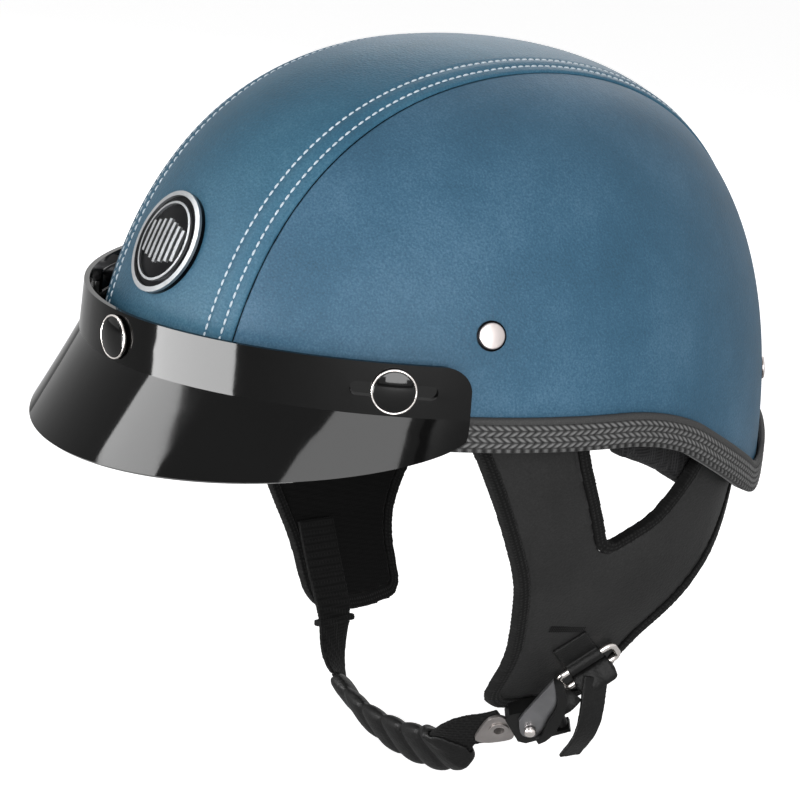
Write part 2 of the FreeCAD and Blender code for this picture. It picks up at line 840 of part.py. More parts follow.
def flap_slab(outer, inner):
    """Curved slab between two depths below the flap's outer face."""
    wires = []
    for level in FLAP_LEVELS:
        rows = []
        for depth in (outer, inner):
            points = [Vector(flap_face(y, level) - depth, y, level) for y in FLAP_BACKS]
            curve = Part.BSplineCurve()
            curve.interpolate(points)
            rows.append((curve.toShape(), points))
        (front_edge, front), (rear_edge, rear) = rows
        wires.append(Part.Wire([
            front_edge,
            Part.makeLine(front[-1], rear[-1]),
            rear_edge,
            Part.makeLine(rear[0], front[0]),
        ]))
    slab = Part.makeLoft(wires, True, False)
    if slab.Volume < 0:
        slab.reverse()
    return slab


flap_low = val("flap_bottom")
FLAP_OUTLINE = [
    (-68.0, 16.0, 0),
    (-24.0, -62.0, 90.0),
    (-12.0, -98.0, 60.0),
    (-10.5, flap_low + 1.0, 13.0),
    (20.0, flap_low - 1.0, 60.0),
    (42.5, flap_low + 1.0, 9.0),
    (44.5, -98.0, 40.0),
    (66.0, -69.0, 60.0),
    (99.0, -31.0, 0),
    (99.0, 16.0, 0),
]
FLAP_CUT = [
    (-16.0, 16.0, 0),
    (-5.0, -14.0, 40.0),
    (11.5, -48.5, 4.5),
    (31.0, -38.0, 30.0),
    (56.0, -10.0, 0),
    (56.0, 16.0, 0),
]
flap_top = 11.0


def flap_pattern(inset):
    """Side view of the flap, drawn in by inset from its free edges."""
    body = side_face(FLAP_OUTLINE)
    opening = side_face(FLAP_CUT)
    if inset > 0:
        body = body.makeOffset2D(-inset)
        opening = opening.makeOffset2D(inset)
    body = body.extrude(Vector(2 * reach_far, 0, 0))
    opening = opening.extrude(Vector(2 * reach_far, 0, 0))
    return body.cut(opening).cut(above_rim(flap_top))


binding = val("binding_width")
proud = val("binding_proud")
half_depth = val("flap_thick") * 0.45
face_slab = flap_slab(0, half_depth)
lining_slab = flap_slab(half_depth + 0.1, val("flap_thick"))
tape_slab = flap_slab(-proud, val("flap_thick") + proud)
inner_pattern = flap_pattern(binding)
edge_pattern = flap_pattern(0).cut(flap_pattern(binding - 0.1))
right_half = box(0, reach_far, -reach_far, reach_far, -reach_far, ceiling)
for label, slab, pattern in (
        ("ear_flap", face_slab, inner_pattern),
        ("flap_lining", lining_slab, inner_pattern),
        ("flap_binding", tape_slab, edge_pattern)):
    shape = slab.common(pattern)
    keep(feature(label + "_l", shape), label + "_left")
    keep(feature(label + "_r", mirrored(shape)), label + "_right")


# Chin strap: ribbons through sections set along the strap's route

def ribbon(stations, width, thick):
    """Flat strap through (centre, width direction) stations."""
    wires = []
    count = len(stations)
    for i, (centre, across) in enumerate(stations):
        before = stations[max(i - 1, 0)][0]
        after = stations[min(i + 1, count - 1)][0]
        along = (after - before).normalize()
        across = (across - along * across.dot(along)).normalize()
        normal = along.cross(across)
        a, n = across * (width / 2), normal * (thick / 2)
        corners = [centre + a + n, centre - a + n, centre - a - n, centre + a - n]
        wires.append(Part.makePolygon(corners + [corners[0]]))
    solid = Part.makeLoft(wires, True, False)
    if solid.Volume < 0:
        solid.reverse()
    return solid



# Buckle axes: x along the strap towards the ring, y across it, z out to the front

pivot_lift = 8.454
pivot_back, pivot_level = 8.0, -132.5
pivot_spot = Vector(flap_face(pivot_back, flap_low) + pivot_lift, pivot_back, pivot_level)
buckle_along = Vector(0.66, 0.62, 0.42).normalize()
buckle_out = Vector(0.74, -0.456, -0.491)
buckle_out = (buckle_out - buckle_along * buckle_out.dot(buckle_along)).normalize()
buckle_across = buckle_out.cross(buckle_along)
buckle_frame = Placement(
    pivot_spot, Rotation(buckle_along, buckle_across, buckle_out, "XYZ"))


def buckle_point(x, y, z):
    """A point given in the buckle's own axes."""
    return buckle_frame.multVec(Vector(x, y, z))


def padded(label, corners, bottom, length, role="XY_Plane"):
    """PartDesign pad of a closed outline, raised from a level by a length."""
    body = doc.addObject("PartDesign::Body", "Body_" + label)
    sketch = sketch_outline(body, "Outline_" + label, role, corners)
    sketch.AttachmentOffset = Placement(Vector(0, 0, as_number(bottom)), Rotation())
    if isinstance(bottom, Size):
        sketch.setExpression("AttachmentOffset.Base.z", bottom.text)
    pad = body.newObject("PartDesign::Pad", "Pad_" + label)
    pad.Profile = sketch
    pad.setExpression("Length", length.text)
    body.Tip = pad
    body.Placement = buckle_frame
    return body


def round_pocket(body, label, x, y, radius):
    """Round hole straight through a body."""
    sketch = body.newObject("Sketcher::SketchObject", "Hole_" + label)
    sketch.AttachmentSupport = [(origin_plane(body, "XY_Plane"), "")]
    sketch.MapMode = "FlatFace"
    circle = Part.Circle(Vector(as_number(x), as_number(y), 0), Vector(0, 0, 1), radius.value)
    sketch.addGeometry(circle, False)
    bound = [("Radius", (0,), radius), ("DistanceX", (-1, 1, 0, 3), x),
             ("DistanceY", (-1, 1, 0, 3), y)]
    for kind, where, amount in bound:
        index = sketch.addConstraint(Sketcher.Constraint(kind, *where, as_number(amount)))
        if isinstance(amount, Size):
            sketch.setExpression("Constraints[%d]" % index, amount.text)
    pocket = body.newObject("PartDesign::Pocket", "Pocket_" + label)
    pocket.Profile = sketch
    pocket.Type = "ThroughAll"
    pocket.Midplane = True
    body.Tip = pocket


def outline_pocket(body, label, corners, bottom, depth):
    """Pocket with a closed outline, cut upwards from a level."""
    sketch = sketch_outline(body, "Cut_" + label, "XY_Plane", corners)
    sketch.AttachmentOffset = Placement(Vector(0, 0, bottom.value), Rotation())
    sketch.setExpression("AttachmentOffset.Base.z", bottom.text)
    pocket = body.newObject("PartDesign::Pocket", "Slot_" + label)
    pocket.Profile = sketch
    pocket.Reversed = True
    pocket.setExpression("Length", depth.text)
    body.Tip = pocket


# Buckle housing: a block with a slot for the tongue and a bar for the strap

half_frame = size("frame_width") * 0.5
chamfer = 2.5
bar_reach = 2.6
bar_level = -(size("frame_thick") * 0.5)
rear_x = size("frame_rear")
ear_end = rear_x + bar_reach + size("bar_radius") + 1.2
ear_width = 2.0
slot_half = size("blade_width") * 0.5 + size("play")
slot_floor = -(size("frame_wall") + size("plate_thick") + size("play") * 2)
housing = padded("housing", [
    (-size("frame_mouth"), -half_frame + chamfer),
    (-size("frame_mouth") + chamfer, -half_frame),
    (ear_end, -half_frame),
    (ear_end, -half_frame + ear_width),
    (rear_x, -half_frame + ear_width),
    (rear_x, half_frame - ear_width),
    (ear_end, half_frame - ear_width),
    (ear_end, half_frame),
    (-size("frame_mouth") + chamfer, half_frame),
    (-size("frame_mouth"), half_frame - chamfer),
], -size("frame_thick"), size("frame_thick"))
doc.recompute()
outline_pocket(housing, "tongue", [
    (-size("frame_mouth") - 1, -slot_half),
    (size("blade_length") - size("frame_mouth") + size("play"), -slot_half),
    (size("blade_length") - size("frame_mouth") + size("play"), slot_half),
    (-size("frame_mouth") - 1, slot_half),
], slot_floor, size("plate_thick") + size("play") * 2)
doc.recompute()
bar_sketch = housing.newObject("Sketcher::SketchObject", "Bar_outline")
bar_sketch.AttachmentSupport = [(origin_plane(housing, "XZ_Plane"), "")]
bar_sketch.MapMode = "FlatFace"
bar_x = rear_x + bar_reach
bar_sketch.addGeometry(Part.Circle(
    Vector(bar_x.value, bar_level.value, 0), Vector(0, 0, 1), val("bar_radius")), False)
for kind, where, amount in (
        ("Radius", (0,), size("bar_radius")),
        ("DistanceX", (-1, 1, 0, 3), bar_x),
        ("DistanceY", (-1, 1, 0, 3), bar_level)):
    index = bar_sketch.addConstraint(Sketcher.Constraint(kind, *where, as_number(amount)))
    bar_sketch.setExpression("Constraints[%d]" % index, amount.text)
bar_pad = housing.newObject("PartDesign::Pad", "Bar")
bar_pad.Profile = bar_sketch
bar_pad.Midplane = True
bar_pad.setExpression("Length", (size("frame_width") - 1).text)
housing.Tip = bar_pad
doc.recompute()
pivot_bore = size("pivot_radius") + 0.05
outline_pocket(housing, "pivot", [
    (pivot_bore, -pivot_bore), (pivot_bore, pivot_bore),
    (-pivot_bore, pivot_bore), (-pivot_bore, -pivot_bore),
], -(size("frame_wall") - 0.1), size("frame_wall"))
keep(housing, "buckle_frame")

# Lever: a sail shaped plate that swings on the ball headed pivot, with a black grip

lever_low = size("layer_gap")
lever = padded("lever", [
    (18.6, 25.6), (15.0, 11.6), (8.4, 3.1), (3.4, -3.6), (0.4, -5.0), (-2.8, -3.9),
    (-4.0, -0.6), (-2.6, 5.2), (0.2, 9.5),
], lever_low, size("lever_thick"))
doc.recompute()
round_pocket(lever, "pivot", 0, 0, size("pivot_radius") + 0.1)
keep(lever, "buckle_lever")
grip = padded("grip", [
    (18.7, 25.9), (21.0, 21.6), (19.6, 13.0), (16.0, 5.6), (9.6, -3.4), (4.4, -7.6),
    (0.5, -8.6), (0.5, -5.15), (3.55, -3.75), (8.55, 3.0), (15.15, 11.5),
], lever_low, size("grip_thick"))
keep(grip, "lever_grip")
pivot_top = size("layer_gap") + size("lever_thick") + 0.1
keep(turned("lever_pivot", [
    (0, -(size("frame_wall") - 0.15)),
    (size("pivot_radius"), -(size("frame_wall") - 0.15)),
    (size("pivot_radius"), pivot_top),
    (size("pivot_head"), pivot_top),
    (size("pivot_head"), pivot_top + 0.7),
    (size("pivot_head") * 0.8, pivot_top + 1.5),
    (size("pivot_head") * 0.4, pivot_top + 1.95),
    (0, pivot_top + 2.0),
], pivot_spot, buckle_out), "lever_pivot")

# Tongue plate: blade in the slot, wide plate with its hole outside the mouth

blade_half = size("blade_width") * 0.5
plate_half = size("plate_width") * 0.5
mouth = -size("frame_mouth")
tongue = padded("tongue", [
    (mouth + size("blade_length"), -blade_half + 1.5),
    (mouth + size("blade_length"), blade_half - 1.5),
    (mouth + size("blade_length") - 1.5, blade_half),
    (mouth - 0.5, blade_half),
    (mouth - 1.5, plate_half - 1.0),
    (mouth - 4.0, plate_half),
    (mouth - 8.0, plate_half - 1.0),
    (mouth - 15.5, -plate_half * 0.1),
    (mouth - 15.0, -plate_half * 0.55),
    (mouth - 11.0, -plate_half + 1.2),
    (mouth - 3.0, -plate_half),
    (mouth - 0.5, -blade_half),
    (mouth + size("blade_length") - 1.5, -blade_half),
], slot_floor + size("play"), size("plate_thick"))
doc.recompute()
hole_x = mouth - 5.2
round_pocket(tongue, "plate", hole_x, 0, size("plate_hole") + 0.6)
keep(tongue, "tongue_plate")

# Chin strap route: centre, then the turn of its width from fore-and-aft to upright

strap_thick = val("webbing_thick")
plate_low = slot_floor.value + val("play")
strap_out = plate_low - strap_thick / 2 - 0.3
strap_lay = val("flap_thick") + proud + 1.4 + strap_thick / 2


def on_right_flap(back, level):
    """Strap centre against the inner face of the right ear flap."""
    return Vector(strap_lay - flap_face(back, level), back, level)


ROUTE = [
    (on_right_flap(0, -90), 0), (on_right_flap(0, -102), 0), (on_right_flap(0, -113), 0),
    (on_right_flap(0, -120), 2), (Vector(-52.9, 0, -129.5), 8), (Vector(-52.4, 0, -137), 15),
    (Vector(-50.8, 0, -145), 25), (Vector(-46.0, 0, -153), 40), (Vector(-36, -0.5, -158.6), 48),
    (Vector(-21.3, -2, -161.6), 52), (Vector(1.9, -4, -161), 55),
    (Vector(24.2, -6, -156.5), 55), (Vector(38.5, -8, -149.5), 54),
    (buckle_point(-27.5, 2.2, strap_out + 0.4), 50),
    (buckle_point(-20, 0.6, strap_out), 50),
    (buckle_point(-15, 0, strap_out), 50),
    (buckle_point(mouth.value - 2.0, 0, strap_out), 50),
]
route_curve = Part.BSplineCurve()
route_knots = [0.0]
for (before, _), (after, _) in zip(ROUTE, ROUTE[1:]):
    route_knots.append(route_knots[-1] + (after - before).Length)
route_curve.interpolate(Points=[p for p, _ in ROUTE], Parameters=route_knots)


def route_station(t):
    """Centre, run, width and thickness directions of the strap at a parameter."""
    centre = route_curve.value(t)
    along = Vector(route_curve.tangent(t)[0]).normalize()
    for i in range(len(ROUTE) - 1):
        if t <= route_knots[i + 1] or i == len(ROUTE) - 2:
            share = (t - route_knots[i]) / (route_knots[i + 1] - route_knots[i])
            turn = ROUTE[i][1] + (ROUTE[i + 1][1] - ROUTE[i][1]) * min(share, 1.0)
            break
    upright = Vector(0, -1, 0).cross(along).normalize()
    if t > route_knots[-5]:
        width = buckle_across
    else:
        width = Vector(0, -1, 0) * math.cos(math.radians(turn))
        width += upright * math.sin(math.radians(turn))
    width = (width - along * width.dot(along)).normalize()
    return centre, along, width, along.cross(width)


def sleeve(places, half_sizes, sides):
    """Solid along the strap route through sections at the given parameters."""
    wires = []
    for t in places:
        share = (t - places[0]) / (places[-1] - places[0])
        centre, _, width, normal = route_station(t)
        wide, thick, power = half_sizes(share)
        corners = []
        for k in range(sides):
            turn = 2 * math.pi * (k + 0.5) / sides
            c, s = math.cos(turn), math.sin(turn)
            u = math.copysign(abs(c) ** power, c) * wide
            v = math.copysign(abs(s) ** power, s) * thick
            corners.append(centre + width * u + normal * v)
        wires.append(Part.makePolygon(corners + [corners[0]]))
    solid = Part.makeLoft(wires, True, True)
    if solid.Volume < 0:
        solid.reverse()
    return solid


GRID = 3.0


def flat_strap(first, last, width, thick):
    """Plain strap of constant section along the route, cut on a common grid."""
    root = math.sqrt(2)
    steps = range(int(route_knots[-1] / GRID) + 2)
    inside = [k * GRID for k in steps if first + 0.5 < k * GRID < last - 0.5]
    return sleeve([first] + inside + [last], lambda share: (width / root, thick / root, 1.0), 4)


pad_start = route_knots[7]
pad_end = (route_knots[12] + route_knots[13]) / 2
join = pad_start + 0.1
strap_end_t = route_knots[-1]
width = val("webbing_width")
strap_right = flat_strap(route_knots[0], pad_start - 0.3, width, strap_thick)
keep(feature("StrapRight", strap_right), "chin_strap_right")
mid_strap = flat_strap(join, strap_end_t, width, strap_thick)
eyelet_bore = rod(buckle_point(hole_x.value, 0, -20), buckle_out,
                  val("plate_hole") + 0.9, 40)
keep(feature("StrapMiddle", mid_strap.cut(eyelet_bore)), "chin_strap_middle")

LOBES = 6
pad_wide = val("chin_pad_width") / 2
pad_thick = val("chin_pad_thick") / 2


def pad_half_sizes(share):
    """Quilted sleeve: full between the sewn channels, drawn in at each of them."""
    bump = abs(math.sin(math.pi * LOBES * share)) ** 0.6
    end = min(1.0, 8 * share + 0.62, 8 * (1 - share) + 0.62)
    return (pad_wide * (0.9 + 0.1 * bump) * end, pad_thick * (0.58 + 0.42 * bump), 0.7)


pad_first, pad_count = pad_start + 0.4, LOBES * 6
pad_places = [pad_first + (pad_end - pad_first) * i / pad_count for i in range(pad_count + 1)]
pad_outer = sleeve(pad_places, pad_half_sizes, 16)
pad_room = flat_strap(pad_start - 2.0, pad_end + 3.0, width + 1.0, strap_thick + 0.9)
keep(feature("ChinPad", pad_outer.cut(pad_room)), "chin_pad")

eyelet_top = slot_floor + size("play") + size("plate_thick") + 0.1
eyelet_low = slot_floor + size("play") - size("webbing_thick") - 0.7
eyelet_in = size("plate_hole") - 0.1
eyelet_wall = size("plate_hole") + 0.5
flange = size("plate_hole") + 1.7
eyelet = turned("eyelet", [
    (eyelet_in, eyelet_low - 0.6), (flange, eyelet_low - 0.6), (flange, eyelet_low),
    (eyelet_wall, eyelet_low), (eyelet_wall, eyelet_top), (flange, eyelet_top),
    (flange, eyelet_top + 0.5), (eyelet_in, eyelet_top + 0.5),
], buckle_point(hole_x.value, 0, 0), buckle_out)
keep(eyelet, "plate_eyelet")

# Elastic keeper round the right strap

keeper_middle, keeper_run, keeper_wide, _ = route_station(route_knots[4])
keeper_band = 2.6


def keeper_block(half_run, wide, thick):
    """Short straight length of strap section at the keeper."""
    ends = [(keeper_middle + keeper_run * d, keeper_wide) for d in (-half_run, half_run)]
    return ribbon(ends, wide, thick)


keeper = keeper_block(keeper_band / 2, width + 2.6, strap_thick + 2.6)
keeper = keeper.cut(keeper_block(keeper_band, width + 0.6, strap_thick + 0.7))
keep(feature("Keeper", keeper), "strap_keeper")

# Ring on the left flap: rounded wire loop, leather eye above, strap fold below

ring_lift = 3.67
ring_back, ring_level = 26.5, -106.3
ring_middle = Vector(flap_face(ring_back, ring_level) + ring_lift, ring_back, ring_level)
ring_long = Vector(11, 19, 17).normalize()
ring_short = Vector(-3, 6, -8.4)
ring_short = (ring_short - ring_long * ring_short.dot(ring_long)).normalize()
wire = val("ring_wire")
half_long = val("ring_length") / 2 - wire
half_short = val("ring_width") / 2 - wire
corner = 2.6


def in_ring(point):
    """From ring plane coordinates to the helmet."""
    return ring_middle + ring_long * point.x + ring_short * point.y


ring_path = Part.Wire(rounded_edges([
    (-half_long, -half_short, corner), (half_long, -half_short, corner),
    (half_long, half_short, corner), (-half_long, half_short, corner),
], in_ring, True))
start = ring_path.Edges[0]
circle = Part.Circle(start.valueAt(start.FirstParameter),
                     start.tangentAt(start.FirstParameter), wire)
ring = ring_path.makePipeShell([Part.Wire(circle.toShape())], True, False)
if ring.Volume < 0:
    ring.reverse()
keep(feature("Ring", ring), "strap_ring")


def eye(centre, axis, bore, wall, length):
    """Tube of folded leather round a bar."""
    start = centre - axis * (length / 2)
    return rod(start, axis, bore + wall, length).cut(rod(start, axis, bore, length))


fold = val("leather_fold")
bar_play = 0.15
top_bar = in_ring(Vector(0, -half_short, 0))
low_bar = in_ring(Vector(0, half_short, 0))
loop_length = 15.0
loop_stations = []
for step in (0.5, 4, 8, 12, 16):
    y = top_bar.y - 0.73 * step
    z = top_bar.z + 0.68 * step
    lift = 0.6 + fold / 2
    loop_stations.append((Vector(flap_face(y, z) + lift, y, z), ring_long))
loop = ribbon(loop_stations, loop_length, fold)
loop = loop.fuse(eye(top_bar, ring_long, wire + bar_play, fold - 0.4, loop_length))
loop = loop.cut(rod(top_bar - ring_long * loop_length, ring_long, wire + bar_play, 40))
keep(feature("RingLoop", loop), "ring_loop")

fold_length = 16.0
tail_across = Vector(0.15, 0.97, 0.18)
TAIL_STEPS = [
    (1.9, 3.1, -4.3), (3.0, 1.9, -9.7), (4.3, 0.5, -18.7), (3.5, 0.0, -25.7),
    (0.5, -0.5, -32.7), (-3.5, -1.0, -39.2),
]
tail_stations = [(ring_middle + Vector(*step), tail_across) for step in TAIL_STEPS]
tail = ribbon(tail_stations, 11.0, fold)
tail = tail.fuse(eye(low_bar, ring_long, wire + bar_play, fold, fold_length))
tail = tail.cut(rod(low_bar - ring_long * fold_length, ring_long, wire + bar_play, 40))
keep(feature("StrapTail", tail), "strap_tail")

bar_middle = buckle_point(bar_x.value, 0, bar_level.value)
link_stations = [
    (ring_middle + Vector(-3.7, -2.3, -12.5), Vector(0.9, 0.25, -0.35)),
    (ring_middle + Vector(-4.0, -6.0, -16.0), Vector(0.4, 0.6, -0.7)),
    (bar_middle + Vector(0.2, 1.2, 1.9), -buckle_across),
]
link = ribbon(link_stations, 8.0, fold + 0.5)
link_length = val("frame_width") - 2 * ear_width - 1.0
bar_bore = val("bar_radius") + bar_play
link = link.fuse(eye(bar_middle, buckle_across, bar_bore, fold - 0.6, link_length))
link = link.cut(rod(bar_middle - buckle_across * 20, buckle_across, bar_bore, 40))
keep(feature("BuckleStrap", link), "buckle_strap")

# Check every object, then write each piece

doc.recompute()
for obj in doc.Objects:
    if "Invalid" in obj.State or "Error" in obj.State:
        raise RuntimeError("not built: " + obj.Label)
for obj in exported:
    if obj.Shape.isNull() or not obj.Shape.isValid():
        raise RuntimeError("bad shape: " + obj.Label)
os.makedirs("parts", exist_ok=True)
for obj in exported:
    obj.Shape.exportStep("parts/" + obj.Label + ".step")
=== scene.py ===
import math

import bmesh
import bpy
import numpy as np
from mathutils import Matrix, Vector
from mathutils.kdtree import KDTree


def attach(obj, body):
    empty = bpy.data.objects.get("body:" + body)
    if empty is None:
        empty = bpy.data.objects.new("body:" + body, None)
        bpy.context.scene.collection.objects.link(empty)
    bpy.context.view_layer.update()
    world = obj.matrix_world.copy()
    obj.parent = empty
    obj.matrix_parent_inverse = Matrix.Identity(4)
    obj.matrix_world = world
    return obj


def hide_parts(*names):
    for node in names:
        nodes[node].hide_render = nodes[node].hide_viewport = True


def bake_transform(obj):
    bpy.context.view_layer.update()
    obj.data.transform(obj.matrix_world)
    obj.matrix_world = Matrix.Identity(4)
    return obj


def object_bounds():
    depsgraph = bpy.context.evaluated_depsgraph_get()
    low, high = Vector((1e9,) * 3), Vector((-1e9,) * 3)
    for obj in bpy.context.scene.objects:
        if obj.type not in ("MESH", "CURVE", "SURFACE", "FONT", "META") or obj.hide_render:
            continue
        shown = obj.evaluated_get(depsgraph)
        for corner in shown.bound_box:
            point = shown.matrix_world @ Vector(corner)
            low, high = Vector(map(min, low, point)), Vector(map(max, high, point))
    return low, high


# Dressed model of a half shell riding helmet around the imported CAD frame.
# The front is -Y, the wearer's left is +X and up is +Z.
# Lengths are in millimetres until a mesh is made, which is in metres.

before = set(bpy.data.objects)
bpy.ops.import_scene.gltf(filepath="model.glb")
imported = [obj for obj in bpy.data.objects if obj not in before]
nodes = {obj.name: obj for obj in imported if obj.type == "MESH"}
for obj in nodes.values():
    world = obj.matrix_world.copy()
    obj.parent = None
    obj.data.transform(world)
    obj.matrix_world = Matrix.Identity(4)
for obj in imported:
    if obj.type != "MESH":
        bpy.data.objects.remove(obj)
cad_box = [list(corner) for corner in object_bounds()]
MM = 0.001
rng = np.random.default_rng(7)


# ---------------------------------------------------------------- the dome

HALF_WIDTH, FRONT_REACH, BACK_REACH = 118.0, 149.0, 142.5
CROWN_RISE, EQUATOR = 160.5, -31.0
CROWN_FULL, FRONT_FULL, BACK_FULL = 0.99, 0.645, 0.68
RAY_LENGTH, HALVINGS = 260.0, 34
ARC_STEPS, PATH_STEP = 24, 0.8

# Rim path seen from the side: place along the helmet, height and corner radius.
RIM = [(-190.0, 7.0, 0.0), (-112.0, 0.0, 120.0), (12.5, 0.0, 100.0),
       (93.0, -39.5, 35.0), (132.0, -25.0, 60.0), (190.0, -23.0, 0.0)]


def conic(share, weight):
    """The other coordinate of a unit quarter conic."""
    rest = 1.0 - np.minimum(np.abs(share), 1.0)
    k = 4.0 * weight * weight * rest
    root = (k - 2.0 * rest) ** 2 - 4.0 * (rest * rest - k)
    return (2.0 * rest - k + np.sqrt(np.maximum(root, 0.0))) / 2.0


def dome_x(y, z, offset):
    """Half width of the dome, moved out by offset, at a place seen from the side."""
    lift = z - EQUATOR
    share = np.where(lift <= 0, 1.0, conic(lift / (CROWN_RISE + offset), CROWN_FULL))
    reach = (np.where(y < 0, FRONT_REACH, BACK_REACH) + offset) * share
    weight = np.where(y < 0, FRONT_FULL, BACK_FULL)
    safe = np.where(reach > 1e-6, reach, 1.0)
    wide = (HALF_WIDTH + offset) * share
    return np.where(np.abs(y) < reach, wide * conic(y / safe, weight), 0.0)


def halving(inside, shape):
    """Largest distance, for each ray, at which inside(distance) still holds."""
    low, high = np.zeros(shape), np.full(shape, RAY_LENGTH)
    for _ in range(HALVINGS):
        middle = (low + high) / 2
        held = inside(middle)
        low, high = np.where(held, middle, low), np.where(held, high, middle)
    return low


def on_rays(start, way, offset):
    """Points where rays from inside leave the dome."""
    def inside(distance):
        p = start + way * distance[..., None]
        return np.abs(p[..., 0]) < dome_x(p[..., 1], p[..., 2], offset)
    distance = halving(inside, way.shape[:-1])
    return start + way * distance[..., None]


def run_along(points):
    """Length of a line from its start to each of its points."""
    steps = np.linalg.norm(np.diff(points, axis=0), axis=1)
    return np.concatenate([[0], np.cumsum(steps)])


def rounded_path(corners):
    """Even points along lines joined by tangent arcs; each corner is (u, v, radius)."""
    points = []
    for i, (u, v, radius) in enumerate(corners):
        here = np.array((u, v))
        if radius <= 0 or i in (0, len(corners) - 1):
            points.append(here)
            continue
        before = np.array(corners[i - 1][:2]) - here
        after = np.array(corners[i + 1][:2]) - here
        before /= np.linalg.norm(before)
        after /= np.linalg.norm(after)
        half = math.acos(np.clip(before @ after, -1, 1)) / 2
        middle = before + after
        middle /= np.linalg.norm(middle)
        centre = here + middle * radius / math.sin(half)
        first = here + before * radius / math.tan(half) - centre
        last = here + after * radius / math.tan(half) - centre
        for k in range(ARC_STEPS + 1):
            way = first + (last - first) * k / ARC_STEPS
            points.append(centre + way / np.linalg.norm(way) * radius)
    points = np.array(points)
    run = run_along(points)
    even = np.linspace(0, run[-1], int(run[-1] / PATH_STEP) + 1)
    return np.stack([np.interp(even, run, points[:, k]) for k in (0, 1)], axis=1)


rim = rounded_path(RIM)
rim_way = np.gradient(rim, axis=0)
rim_way /= np.linalg.norm(rim_way, axis=1)[:, None]


def rim_level(y, lift):
    """Height of the rim path, moved up by lift, at a place along the helmet."""
    lift = np.broadcast_to(lift, np.shape(y))
    slope = np.interp(y, rim[:, 0], rim_way[:, 1] / rim_way[:, 0])
    return np.interp(y, rim[:, 0], rim[:, 1]) + lift * np.sqrt(1 + slope ** 2)


def on_rim(angle, lift, offset):
    """Points on the dome above the rim; angle 0 is the front and 90 the wearer's left."""
    across, ahead = np.sin(angle), -np.cos(angle)

    def inside(distance):
        y = distance * ahead
        return np.abs(distance * across) < dome_x(y, rim_level(y, lift), offset)
    distance = halving(inside, np.broadcast(angle, lift, offset).shape)
    y = distance * ahead
    return np.stack([distance * across, y, rim_level(y, lift)], axis=-1)


# ---------------------------------------------------------------- mesh helpers

def linked(name, data):
    """A new object in the scene."""
    obj = bpy.data.objects.new(name, data)
    bpy.context.scene.collection.objects.link(obj)
    return obj


def shade_smooth(mesh):
    """Smooth shading on every face."""
    mesh.polygons.foreach_set("use_smooth", np.ones(len(mesh.polygons), bool))


def mesh_object(name, points, faces):
    """A mesh object from points in millimetres."""
    mesh = bpy.data.meshes.new(name)
    mesh.from_pydata((np.asarray(points).reshape(-1, 3) * MM).tolist(), [], faces)
    mesh.validate()
    mesh.update()
    shade_smooth(mesh)
    return linked(name, mesh)


def grid_faces(rows, columns, wrap_rows=False, wrap_columns=False):
    """Quads of a grid of points."""
    index = np.arange(rows * columns).reshape(rows, columns)
    if wrap_rows:
        index = np.vstack([index, index[:1]])
    if wrap_columns:
        index = np.hstack([index, index[:, :1]])
    quads = np.stack([index[:-1, :-1], index[:-1, 1:], index[1:, 1:], index[1:, :-1]], axis=-1)
    return quads.reshape(-1, 4).tolist()


def tube_faces(rows, columns):
    """Faces of a row of closed rings with a cap at each end."""
    faces = grid_faces(rows, columns, wrap_columns=True)
    faces.append(list(range(columns))[::-1])
    faces.append([(rows - 1) * columns + k for k in range(columns)])
    return faces


def add_uv(obj, values):
    """A UV map from one pair of numbers for each vertex."""
    mesh = obj.data
    layer = mesh.uv_layers.new(name="UVMap")
    corner = np.zeros(len(mesh.loops), int)
    mesh.loops.foreach_get("vertex_index", corner)
    layer.data.foreach_set("uv", np.asarray(values, float).reshape(-1, 2)[corner].ravel())


def vertex_values(mesh, kind):
    """Three numbers of a kind for each vertex."""
    flat = np.zeros(len(mesh.vertices) * 3)
    mesh.vertices.foreach_get(kind, flat)
    return flat.reshape(-1, 3)


def coordinates(mesh):
    """Vertex places in millimetres."""
    return vertex_values(mesh, "co") / MM


def baked(obj):
    """Turn the object's modifiers into plain geometry."""
    bpy.context.view_layer.update()
    graph = bpy.context.evaluated_depsgraph_get()
    mesh = bpy.data.meshes.new_from_object(obj.evaluated_get(graph))
    obj.modifiers.clear()
    old, obj.data = obj.data, mesh
    bpy.data.meshes.remove(old)
    mesh.name = obj.name
    shade_smooth(mesh)
    return obj


def thickened(obj, thick):
    """Give a sheet its thickness, inwards."""
    solidify = obj.modifiers.new("Thickness", "SOLIDIFY")
    solidify.thickness = thick * MM
    solidify.offset = -1.0
    solidify.use_even_offset = False
    return baked(obj)


def soft_copy(name, source, voxel, rounds):
    """A softened copy of a CAD solid's form on an even grid of a voxel in millimetres."""
    obj = linked(name, nodes[source].data.copy())
    remesh = obj.modifiers.new("Even", "REMESH")
    remesh.mode = "VOXEL"
    remesh.voxel_size = voxel * MM
    soften = obj.modifiers.new("Soften", "SMOOTH")
    soften.factor = 0.5
    soften.iterations = rounds
    obj.data.materials.clear()
    return baked(obj)


def pushed(obj, amount):
    """Move each vertex along its normal by amount(points, normals), in millimetres."""
    points, normals = coordinates(obj.data), vertex_values(obj.data, "normal")
    points += normals * amount(points, normals)[:, None]
    obj.data.vertices.foreach_set("co", (points * MM).ravel())
    obj.data.update()
    return obj


# ---------------------------------------------------------------- materials

LEATHER_GLOSS, WEAVE_GLOSS, TRIM_GLOSS = 0.17, 0.1, 0.25
WAVE_LENGTH = math.pi * 2 / 20.0     # of Blender's wave texture at a scale of 1


def linear(red, green, blue):
    """Scene colour of a display colour given in 0 to 255."""
    values = []
    for channel in (red, green, blue):
        share = channel / 255
        values.append(share / 12.92 if share <= 0.04045 else ((share + 0.055) / 1.055) ** 2.4)
    return (*values, 1.0)


def grey(level):
    """A neutral scene colour."""
    return linear(level, level, level)


